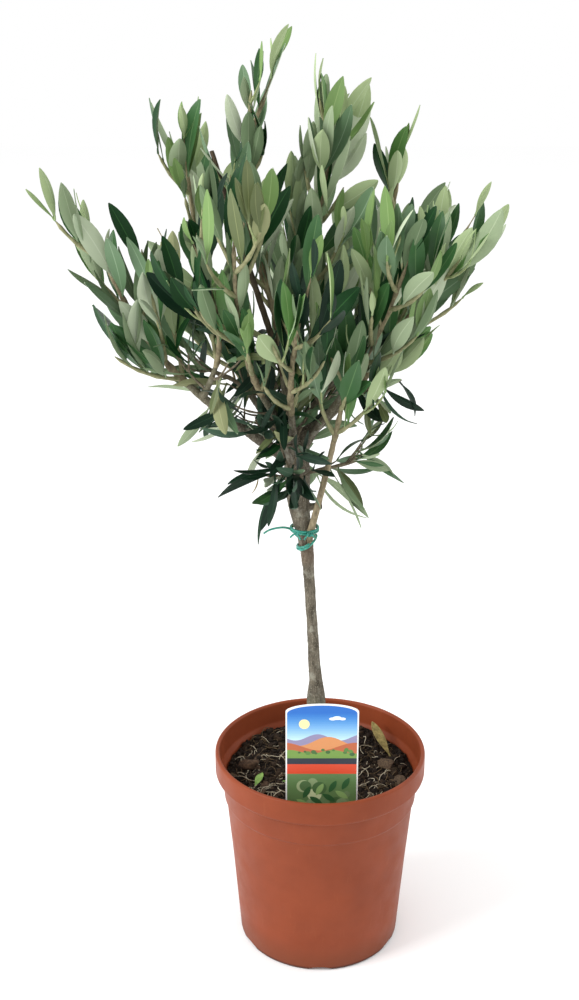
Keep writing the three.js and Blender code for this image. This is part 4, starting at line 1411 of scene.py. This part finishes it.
def drain_form(azimuth):
    """Channel under the pot's edge, as a rounded bar that is cut away."""
    out, across = heading(azimuth), heading(azimuth + 90)
    half = DRAIN_WIDTH / 2
    arc = [(math.cos(turn) * half, max(DRAIN_EDGE, math.sin(turn) * DRAIN_HEIGHT))
           for turn in np.linspace(0, math.pi, DRAIN_ARC_POINTS)]
    outline = [(half, -DRAIN_BELOW)] + arc + [(-half, -DRAIN_BELOW)]
    points = [out * far + across * side + UP * height
              for far in (DRAIN_START, BASE_RADIUS + DRAIN_PAST) for side, height in outline]
    return points, [face[::-1] for face in plate_faces(len(outline))]


def cut_from(piece, form):
    """Takes a closed form away from a piece."""
    mesh = bpy.data.meshes.new("cutter")
    points, faces = form
    mesh.from_pydata((np.asarray(points) * MM).tolist(), [], faces)
    cutter = bpy.data.objects.new("cutter", mesh)
    bpy.context.scene.collection.objects.link(cutter)
    modifier = piece.modifiers.new("cut", "BOOLEAN")
    modifier.operation = "DIFFERENCE"
    modifier.solver = "EXACT"
    modifier.object = cutter
    settled(piece)
    bpy.data.objects.remove(cutter)
    bpy.data.meshes.remove(mesh)


def make_pot():
    shape = Shape()
    shape.add(*lathe_form(rounded(pot_outline(), POT_ROUNDING), POT_SEGMENTS))
    pot = shape.piece("flower_pot", [plastic_finish()], "terracotta_plastic", ["pot"])
    for index in range(DRAIN_COUNT):
        azimuth = DRAIN_FIRST_AZIMUTH + index * 360 / DRAIN_COUNT
        cut_from(pot, drain_form(azimuth))
        bore = [heading(azimuth) * DRAIN_HOLE_AT + UP * height for height in DRAIN_BORE_HEIGHTS]
        cut_from(pot, tube_form(bore, DRAIN_HOLE_RADIUS, DRAIN_HOLE_SIDES))
    pot.data.set_sharp_from_angle(angle=math.radians(POT_SHARP))


# Soil
SOIL_RINGS = 44
SOIL_SEGMENTS = 150
CRUMBS = 2600
CRUMB_SIZES = (0.7, 2.6)
CRUMB_WIDTHS = (0.7, 1)
CRUMB_HEIGHTS = (0.6, 0.9)
CRUMB_LIFT = 0.25
CRUMB_POWER = 3
FIBRES = 480
FIBRE_LENGTHS = (5, 20)
FIBRE_POWER = 1.5
FIBRE_LEVEL = 0.4
FIBRE_MARGIN = 2
FIBRE_RADII = (0.14, 0.32)
SOIL_SEED = 90001
SOIL_HEAP = 5
SOIL_HEAP_FROM = 0.2
SOIL_EDGE_DROP = 1.4
SOIL_EDGE_POWER = 6
SOIL_FOOT_DEPTH = 3
LUMP_SWELL = 0.55
LUMP_GRAIN = 1.3
LUMP_TIP = 1.2
LITTER_RADIUS = 66
BIG_CRUMB = 1.4
FIBRE_STEPS = 8
FIBRE_CURL = 6
FIBRE_KINK = 0.7
FIBRE_LIFTS = (0.6, 2.6)
FIBRE_SIDES = 5
SMALL_CHIPS = 26
SMALL_CHIP_SIZES = (1.5, 3.4)
SMALL_CHIP_STRETCH = (1.5, 0.8, 0.35)
SMALL_CHIP_LIFT = 0.7
CHIP = {"lift": 1.6, "size": 5.5, "stretch": (1.25, 0.8, 0.42)}
CLOD = {"lift": 2, "size": 6.5, "stretch": (1.2, 0.9, 0.7)}
CLOD_AT = (-50.6, 7)
CHIPS_AT = ((47.6, 8.7), (55.7, -10))
DRY_LEAF = {"foot": (53, 20, 127), "tip": (40, 48, 142), "width": 7.5}
FALLEN_LEAVES = ((-46.3, -18.2, 70, 15), (-26.5, -11.6, 20, 12))
FALLEN_LEAF_WIDTH_SHARE = 0.36
FALLEN_LEAF_RISE = 2.5
FALLEN_LEAF_LIFT = 1.2

# A draw times one of these, rounded down, is the number of one of two or three materials
TWO_KINDS = 1.99
THREE_KINDS = 2.99

# Waves of the soil: how high, how wide and how far into the noise
SOIL_WAVES = ((2.2, 26, 0), (1.5, 9, 90), (0.8, 3, 0))


def soil_height(x, y):
    """Uneven top of the soil, heaped towards the back and lower at the wall."""
    level = np.array([x, y, 0.0])
    relief = sum(high * grain_noise(level + shift, wide) for high, wide, shift in SOIL_WAVES)
    heap = SOIL_HEAP * min(1, max(0, y / SOIL_RADIUS + SOIL_HEAP_FROM))
    edge = SOIL_EDGE_DROP * (math.hypot(x, y) / SOIL_RADIUS) ** SOIL_EDGE_POWER
    return SOIL_TOP + heap + relief - edge


def on_soil(x, y, lift):
    """A place above the soil by a lift."""
    return np.array([x, y, soil_height(x, y) + lift])


def turned(points, axis, angle):
    """Points turned about the X axis (0) or the Z axis (2)."""
    first, second = {0: (1, 2), 2: (0, 1)}[axis]
    turn = np.eye(3)
    turn[first, first] = turn[second, second] = math.cos(angle)
    turn[first, second] = math.sin(angle)
    turn[second, first] = -math.sin(angle)
    return points @ turn


def lump(middle, size, draw, stretch, level):
    """Irregular closed crumb around a middle."""
    points, faces = LUMPS[level]
    shift = np.array([draw(), draw(), draw()]) * 100
    swell = np.array([1 + LUMP_SWELL * noise.noise(Vector(point * LUMP_GRAIN + shift)) for point in points])
    turn, tip = draw() * 2 * math.pi, (draw() - 0.5) * LUMP_TIP
    form = points * swell[:, None] * np.array(stretch) * size
    return turned(turned(form, 0, tip), 2, turn) + middle, faces


def ball_forms():
    """Balls of 20, 80 and 320 faces."""
    forms = []
    for level in (1, 2, 3):
        ball = bmesh.new()
        bmesh.ops.create_icosphere(ball, subdivisions=level, radius=1)
        ball.verts.ensure_lookup_table()
        points = np.array([list(vertex.co) for vertex in ball.verts])
        forms.append((points, [[vertex.index for vertex in face.verts] for face in ball.faces]))
        ball.free()
    return forms


LUMPS = ball_forms()


def scattered(draw):
    """A place on the soil, as likely in one spot as in another."""
    radius, turn = LITTER_RADIUS * math.sqrt(draw()), draw() * 2 * math.pi
    return radius * math.cos(turn), radius * math.sin(turn)


def make_filling():
    radii = SOIL_RADIUS * np.sqrt(np.linspace(0, 1, SOIL_RINGS + 1))
    turns = np.arange(SOIL_SEGMENTS) * 2 * math.pi / SOIL_SEGMENTS
    points = [[0, 0, SOIL_FLOOR], [0, 0, soil_height(0, 0)]]
    rings = [(SOIL_FOOT_RADIUS, SOIL_FLOOR), (SOIL_RADIUS, SOIL_TOP - SOIL_FOOT_DEPTH)]
    for radius, height in rings:
        points.extend([radius * math.cos(turn), radius * math.sin(turn), height] for turn in turns)
    for radius in radii[:0:-1]:
        for turn in turns:
            x, y = radius * math.cos(turn), radius * math.sin(turn)
            points.append([x, y, soil_height(x, y)])
    count = SOIL_RINGS + len(rings)
    ground = Shape()
    ground.add(points, ring_faces(2, count, SOIL_SEGMENTS) + fan_faces(2, count, SOIL_SEGMENTS))
    ground.piece("soil_filling", [peat_finish()], "peat", ["soil"], sharp=SHARP_EDGE)


def make_crumbs(draw):
    crumbs = Shape()
    for _ in range(CRUMBS):
        x, y = scattered(draw)
        size = mixed(*CRUMB_SIZES, draw() ** CRUMB_POWER)
        stretch = (1, mixed(*CRUMB_WIDTHS, draw()), mixed(*CRUMB_HEIGHTS, draw()))
        form = lump(on_soil(x, y, size * CRUMB_LIFT), size, draw, stretch, 1 if size > BIG_CRUMB else 0)
        crumbs.add(*form, int(draw() * THREE_KINDS))
    crumbs.piece("soil_crumbs", [
        grain_finish("crumb_dark", "#0E0B08", "#241B15", 1, 0.2, 0.95),
        grain_finish("crumb_brown", "#1D150E", "#3B2D20", 1, 0.2, 0.95),
        grain_finish("crumb_mid", "#171210", "#2F251C", 1, 0.2, 0.95),
    ], "peat", ["soil"], sharp=SHARP_EDGE)


def make_fibres(draw):
    fibres = Shape()
    for _ in range(FIBRES):
        x, y = scattered(draw)
        length = mixed(*FIBRE_LENGTHS, draw() ** FIBRE_POWER)
        turn, curl = draw() * 2 * math.pi, (draw() - 0.5) * FIBRE_CURL
        wave, spot = [], np.array([x, y])
        lift = mixed(*FIBRE_LIFTS, draw())
        for step in range(FIBRE_STEPS + 1):
            rise = lift * math.sin(step / FIBRE_STEPS * math.pi)
            wave.append([*spot, soil_height(*spot) + FIBRE_LEVEL + rise])
            spot = spot + np.array([math.cos(turn), math.sin(turn)]) * length / FIBRE_STEPS
            turn += curl / FIBRE_STEPS + (draw() - 0.5) * FIBRE_KINK
        if np.hypot(*spot) < SOIL_RADIUS - FIBRE_MARGIN:
            fibres.add(*tube_form(wave, mixed(*FIBRE_RADII, draw()), FIBRE_SIDES), int(draw() * TWO_KINDS))
    fibres.piece("soil_fibres", [
        grain_finish("fibre_pale", "#857A64", "#C6BCA6", 2, 0.1, 0.9),
        grain_finish("fibre_brown", "#3E3224", "#6B5A42", 2, 0.1, 0.9),
    ], "peat", ["soil"], sharp=ROUND_EDGE)


def make_chips(draw):
    chips = Shape()
    for at in CHIPS_AT:
        chips.add(*lump(on_soil(*at, CHIP["lift"]), CHIP["size"], draw, CHIP["stretch"], 2), 0)
    chips.add(*lump(on_soil(*CLOD_AT, CLOD["lift"]), CLOD["size"], draw, CLOD["stretch"], 2), 1)
    for _ in range(SMALL_CHIPS):
        middle = on_soil(*scattered(draw), SMALL_CHIP_LIFT)
        form = lump(middle, mixed(*SMALL_CHIP_SIZES, draw()), draw, SMALL_CHIP_STRETCH, 2)
        chips.add(*form, int(draw() * TWO_KINDS))
    chips.piece("bark_chips", [
        grain_finish("chip_bark", "#3A2D25", "#64523F", 1.6, 0.3, 0.85, (1, 1, 2)),
        grain_finish("clod_earth", "#33271E", "#584434", 2, 0.5, 0.95),
    ], "peat", ["soil"], sharp=SHARP_EDGE)


def make_litter(draw):
    litter = Shape()
    foot, tip = np.array(DRY_LEAF["foot"]), np.array(DRY_LEAF["tip"])
    litter.add(*lying_leaf(foot, tip, DRY_LEAF["width"], draw))
    straw = grain_finish("straw_leaf", "#655A34", "#978754", 3, 0.15, 0.75)
    litter.piece("dry_leaf", [straw] * 4, "foliage", sharp=SHARP_EDGE)
    green = Shape()
    for x, y, azimuth, length in FALLEN_LEAVES:
        foot = on_soil(x, y, FALLEN_LEAF_LIFT)
        tip = foot + heading(azimuth) * length + UP * FALLEN_LEAF_RISE
        green.add(*lying_leaf(foot, tip, length * FALLEN_LEAF_WIDTH_SHARE, draw))
    fresh = grain_finish("fallen_leaf", "#5D7F3C", "#86A657", 4, 0.1, 0.6)
    green.piece("fallen_leaves", [fresh] * 4, "foliage", sharp=SHARP_EDGE)


def make_soil():
    """The filling, then what lies on it, all from one number stream."""
    draw = seeded(SOIL_SEED)
    make_filling()
    for make in (make_crumbs, make_fibres, make_chips, make_litter):
        make(draw)


def lying_leaf(foot, tip, width, draw):
    along = unit(tip - foot)
    across = unit(np.cross(along, UP))
    leaf = dict(root=foot, direction=along, across=across, length=np.linalg.norm(tip - foot), width=width)
    return leaf_form(leaf, draw)


# Plant label
LABEL_BORDER = 1
ARCH_POINTS = 25
BAND_POINTS = 33
PRINT_POINTS = 25
LABEL_PRINT = 0.07
PRINT_STEP = 0.08
PRINT_SINK = 0.2
LABEL_SOIL_LINE = 124
WARM_BAND = (158, 165.5)
DARK_BAND = (165.5, 170)
SKY_TOP = 204
SKY_STEP = 1.3
SKY_STEPS = 16
LABEL_SEED = 331
LABEL_BUSHES = 14
LABEL_SPOTS = 16
LABEL_LEAVES = 8
LABEL_LEAF_POWER = 0.8
LABEL_TWIG = {"from": (-17, 138), "step": (4.4, 1.1), "turn": 14, "angle": 48, "leaf": (10.5, 2)}
SUN = (-12, 196, 3.6)
CLOUD = ((7, 200, 2.4), (10, 200.6, 3), (13.5, 200, 2.2))
CLOUD_SQUASH = 0.45
BUSHES = {"x": (-21, 21), "z": (173, 177), "radius": (0.9, 1.9), "squash": 0.8}
SPOTS = {"x": (-18, 18), "z": (LABEL_SOIL_LINE + 6, WARM_BAND[0] - 5.6), "radius": (2, 5)}

# Rows of hills on the label: colour, height, rise, wave and shift
HILLS = (("#8C86A8", 186, 2.4, 0.21, 2.2), ("#D08B55", 183, 3.4, 0.16, 0.9),
         ("#B65F37", 179, 3, 0.13, -1.4), ("#6F9440", 175, 1.4, 0.22, 0))


def label_outline(border=0.0, foot=LABEL_FOOT):
    """Card with rounded shoulders and a low arch for its top."""
    half, arch = LABEL_WIDTH / 2 - border, []
    for side in np.sin(np.linspace(-math.pi / 2, math.pi / 2, ARCH_POINTS)):
        rise = (LABEL_TOP - LABEL_SHOULDER) * math.sqrt(max(0, 1 - side ** 2))
        arch.append((side * half, LABEL_SHOULDER - border + rise))
    return [(-half, foot)] + arch + [(half, foot)]


def band(low, top):
    """Print inside the card's border, from a height up to another or to a wavy line."""
    half = LABEL_WIDTH / 2 - LABEL_BORDER
    across = np.linspace(-half, half, BAND_POINTS)
    upper = [(x, top(x) if callable(top) else top) for x in across]
    return upper + [(x, low) for x in across[::-1]]


def hills(height, rise, wave, shift):
    """Print of a wavy line of hills over the dark band."""
    return band(DARK_BAND[1], lambda x: height + rise * math.sin(x * wave + shift))


def leaf_print(x, z, turn, length, width):
    outline = []
    for share in np.linspace(0, 2, PRINT_POINTS)[:-1]:
        side = 1 if share < 1 else -1
        far = share if share < 1 else 2 - share
        wide = side * width * math.sin(far * math.pi) ** LABEL_LEAF_POWER
        along = far * length
        outline.append((x + along * math.cos(turn) - wide * math.sin(turn),
                        z + along * math.sin(turn) + wide * math.cos(turn)))
    return outline


def upright(outline):
    """Outline turned so that its plate's faces point out."""
    outline = list(outline)
    area = sum(a[0] * b[1] - b[0] * a[1] for a, b in zip(outline, outline[1:] + outline[:1]))
    return outline if area > 0 else outline[::-1]


def tint(first, second, share):
    """Hex code between two others."""
    pairs = [(int(first[i:i + 2], 16), int(second[i:i + 2], 16)) for i in (1, 3, 5)]
    return "#" + "".join(f"{round(mixed(low, high, share)):02X}" for low, high in pairs)


def disc_print(x, z, radius, squash=1.0):
    turns = np.linspace(0, 2 * math.pi, PRINT_POINTS)[:-1]
    return [(x + radius * math.cos(turn), z + radius * squash * math.sin(turn)) for turn in turns]


def label_prints():
    """Generic art for the label: an evening sky over hills, two plain bands and a leafy twig."""
    draw = seeded(LABEL_SEED)
    prints = [("#1466BE", label_outline(LABEL_BORDER, DARK_BAND[1]))]
    for step in range(SKY_STEPS):
        top = SKY_TOP - step * SKY_STEP
        prints.append((tint("#1466BE", "#BFE2F4", (step + 1) / SKY_STEPS), band(DARK_BAND[1], top)))
    prints.append(("#FBE7A6", disc_print(*SUN)))
    prints.extend(("#F4F8FA", disc_print(*puff, CLOUD_SQUASH)) for puff in CLOUD)
    prints.extend((color, hills(*line)) for color, *line in HILLS)
    for _ in range(LABEL_BUSHES):
        x = mixed(*BUSHES["x"], draw())
        color = tint("#2F5A2A", "#5E8A3A", draw())
        z = mixed(*BUSHES["z"], draw())
        radius = mixed(*BUSHES["radius"], draw())
        prints.append((color, disc_print(x, z, radius, BUSHES["squash"])))
    prints.append(("#1B2433", band(*DARK_BAND)))
    prints.append(("#D2431F", band(*WARM_BAND)))
    prints.append(("#5F7F4E", band(LABEL_SOIL_LINE, WARM_BAND[0])))
    for _ in range(LABEL_SPOTS):
        radius = mixed(*SPOTS["radius"], draw())
        x = mixed(*SPOTS["x"], draw())
        spot = disc_print(x, mixed(*SPOTS["z"], draw()), radius)
        prints.append((tint("#45663C", "#C3CFA0", draw()), spot))
    for index in range(LABEL_LEAVES):
        side = 1 if index % 2 else -1
        turn = math.radians(LABEL_TWIG["turn"] + side * LABEL_TWIG["angle"])
        color = "#2F5B33" if index % 3 else "#86A866"
        x, z = (start + index * step for start, step in zip(LABEL_TWIG["from"], LABEL_TWIG["step"]))
        prints.append((color, leaf_print(x, z, turn, *LABEL_TWIG["leaf"])))
    return prints


def make_label():
    shape = Shape()
    finishes = [paper_finish("label_card", "#F1F2F0")]
    known = {}
    shape.add(*prism_form(upright(label_outline()), LABEL_FRONT, LABEL_THICKNESS))
    for level, (color, outline) in enumerate(label_prints()):
        if color not in known:
            known[color] = len(finishes)
            finishes.append(paper_finish(f"label_ink_{len(finishes)}", color))
        front = LABEL_FRONT - LABEL_PRINT * (1 + level * PRINT_STEP)
        shape.add(*prism_form(upright(outline), front, LABEL_FRONT + PRINT_SINK - front), known[color])
    shape.piece("plant_label", finishes, "label_card", ["label"], smooth=False)


def paper_finish(name, color):
    finish = Finish(name, color, 0.38)
    finish.set("Roughness", finish.remap(finish.noise(6), 0.3, 0.7, 0.32, 0.45))
    finish.bump(finish.noise(3), 0.04)
    return finish.material


# Ties
TIE_RADIUS = 0.9
TIE_UPPER = {"at": 317, "shift": 1.8, "azimuth": 301, "radius": 9.2, "tilt": 4,
             "turns": 1.9, "wander": 0.3, "start": 2.2, "points": 150}
TIE_LOWER = {"at": 306, "shift": 0.6, "azimuth": 330, "radius": 7.6, "tilt": -32,
             "turns": 1.7, "wander": 0.5, "start": 0.6, "points": 130}
TIE_WOBBLE = 0.35
TIE_TURN_RISE = 1.6
TIE_TAIL = {"azimuth": 194, "from": 9, "reach": 28, "rise": 3, "arch": 0.7, "fall": -1.5,
            "ripple": 0.15, "ripples": 9, "points": 24, "end_share": 0.8}
TIE_KNOTS = {"azimuths": (238, 290), "outward": 0.5, "below": 1, "radius": 1.3, "skew": 0.6,
             "turns": 2.2, "points": 46, "share": 0.9}
KNOT_ENDS = {"across": 4, "down": 3, "outward": 1.5, "points": 10, "share": 0.8}
KNOT_SIDES = 8
STRING_RADIUS = TIE_RADIUS * 0.9
STRING_SIDES = 10


def tie_middle(tie):
    return trunk_at(tie["at"])[0] + heading(tie["azimuth"]) * tie["shift"]


def tie_loop(tie):
    """Turns of string round the trunk, tilted from left to right."""
    middle, tilt = tie_middle(tie), math.radians(tie["tilt"])
    points = []
    for share in np.linspace(0, 1, tie["points"]):
        turn = tie["start"] + share * tie["turns"] * 2 * math.pi
        radius = tie["radius"] + TIE_WOBBLE * math.sin(turn * 3 + tie["start"])
        out = np.array([math.cos(turn), math.sin(turn), 0]) * radius
        drift = tie["wander"] * math.sin(turn * 2 + 1) + (share - 0.5) * TIE_TURN_RISE * tie["turns"]
        points.append(middle + np.array([out[0] * math.cos(tilt), out[1], out[0] * math.sin(-tilt) + drift]))
    return tube_form(points, STRING_RADIUS, STRING_SIDES)


def tie_tail(middle):
    """Loose end of the upper tie, which stands out to the left."""
    shares = np.linspace(0, 1, TIE_TAIL["points"])
    tail = []
    for share in shares:
        height = TIE_TAIL["rise"] * 4 * share * (1 - share) * TIE_TAIL["arch"] + TIE_TAIL["fall"] * share ** 3
        height += TIE_TAIL["ripple"] * math.sin(share * TIE_TAIL["ripples"])
        far = mixed(TIE_TAIL["from"], TIE_TAIL["reach"], share)
        tail.append(middle + heading(TIE_TAIL["azimuth"]) * far + UP * height)
    return tube_form(tail, STRING_RADIUS * mixed(1, TIE_TAIL["end_share"], shares), STRING_SIDES)


def tie_knot(middle, azimuth):
    """A small double loop and the two short ends that leave it."""
    out = heading(azimuth)
    across = np.cross(out, UP)
    knot = middle + out * (TIE_UPPER["radius"] + TIE_KNOTS["outward"]) - UP * TIE_KNOTS["below"]
    loop = []
    for turn in np.linspace(0, TIE_KNOTS["turns"] * 2 * math.pi, TIE_KNOTS["points"]):
        round_knot = (across * math.cos(turn) + UP * math.sin(turn)) * TIE_KNOTS["radius"]
        loop.append(knot + round_knot + out * TIE_KNOTS["skew"] * math.sin(turn * 2))
    yield tube_form(loop, STRING_RADIUS * TIE_KNOTS["share"], KNOT_SIDES)
    for side in (-1, 1):
        end = [knot + across * side * share * KNOT_ENDS["across"] - UP * share ** 2 * KNOT_ENDS["down"]
               + out * share * KNOT_ENDS["outward"] for share in np.linspace(0, 1, KNOT_ENDS["points"])]
        yield tube_form(end, STRING_RADIUS * KNOT_ENDS["share"], KNOT_SIDES)


def make_ties():
    finish = Finish("tie_plastic", "#2AA08F", 0.45, Subsurface_Weight=0.1)
    finish.set("Base Color", finish.mix(finish.patches(3, 0.35, 0.65, (1, 1, 2)), "#0F6C5E", "#309886"))
    finish.bump(finish.noise(0.7), 0.1)
    upper, lower, middle = Shape(), Shape(), tie_middle(TIE_UPPER)
    upper.add(*tie_loop(TIE_UPPER))
    upper.add(*tie_tail(middle))
    for azimuth in TIE_KNOTS["azimuths"]:
        for form in tie_knot(middle, azimuth):
            upper.add(*form)
    lower.add(*tie_loop(TIE_LOWER))
    upper.piece("tie_upper_string", [finish.material], "tie_plastic", ["tie_upper"], sharp=ROUND_EDGE)
    lower.piece("tie_lower_string", [finish.material], "tie_plastic", ["tie_lower"], sharp=ROUND_EDGE)


# Stage, in metres and watts: each light's place, target and power
FLOOR_HALF = 6
LIGHT_SIZE = 1.2
LIGHTS = {"key": ((-1.9, -0.8, 1.6), (0, 0, 0.35), 47), "side": ((1.8, 0.5, 1.2), (0, 0, 0.3), 12)}


def make_light(name, place_at, target, power):
    light = bpy.data.lights.new(name, "AREA")
    light.size = LIGHT_SIZE
    light.energy = power
    lamp = bpy.data.objects.new(name, light)
    lamp.location = place_at
    lamp.rotation_euler = (Vector(target) - Vector(place_at)).to_track_quat("-Z", "Y").to_euler()
    lamp.visible_camera = False
    bpy.context.scene.collection.objects.link(lamp)


def make_stage():
    scene = bpy.context.scene
    floor_mesh = bpy.data.meshes.new("floor")
    corners = [(x * FLOOR_HALF, y * FLOOR_HALF, 0) for x, y in ((-1, -1), (1, -1), (1, 1), (-1, 1))]
    floor_mesh.from_pydata(corners, [], [[0, 1, 2, 3]])
    floor_mesh.materials.append(Finish("studio_floor", "#FDFDFD", 1.0, Specular_IOR_Level=0.0).material)
    floor = bpy.data.objects.new("floor", floor_mesh)
    scene.collection.objects.link(floor)

    world = bpy.data.worlds.new("studio")
    world.use_nodes = True
    background = world.node_tree.nodes["Background"]
    background.inputs["Color"].default_value = (1, 1, 1, 1)
    background.inputs["Strength"].default_value = 1.0
    scene.world = world
    for name, (place_at, target, power) in LIGHTS.items():
        make_light(name, place_at, target, power)
    scene.view_settings.view_transform = "Standard"

    camera = bpy.data.cameras.new("camera")
    camera.sensor_width = SENSOR
    camera.lens = CAMERA_LENS
    eye = bpy.data.objects.new("camera", camera)
    eye.location = CAMERA_PLACE
    eye.rotation_euler = (math.radians(90 - CAMERA_PITCH), 0, 0)
    scene.collection.objects.link(eye)
    scene.camera = eye


make_stage()
bough_curves = plan_boughs()
growth = Growth(bough_curves)
growth.grow(bough_curves)
make_wood(bough_curves)
make_loose_boughs(bough_curves)
leaves = settled_leaves(growth.leaves)
make_twigs(bearing_twigs(growth.twigs, leaves))
make_leaves(leaves)
make_pot()
make_soil()
make_label()
make_ties()
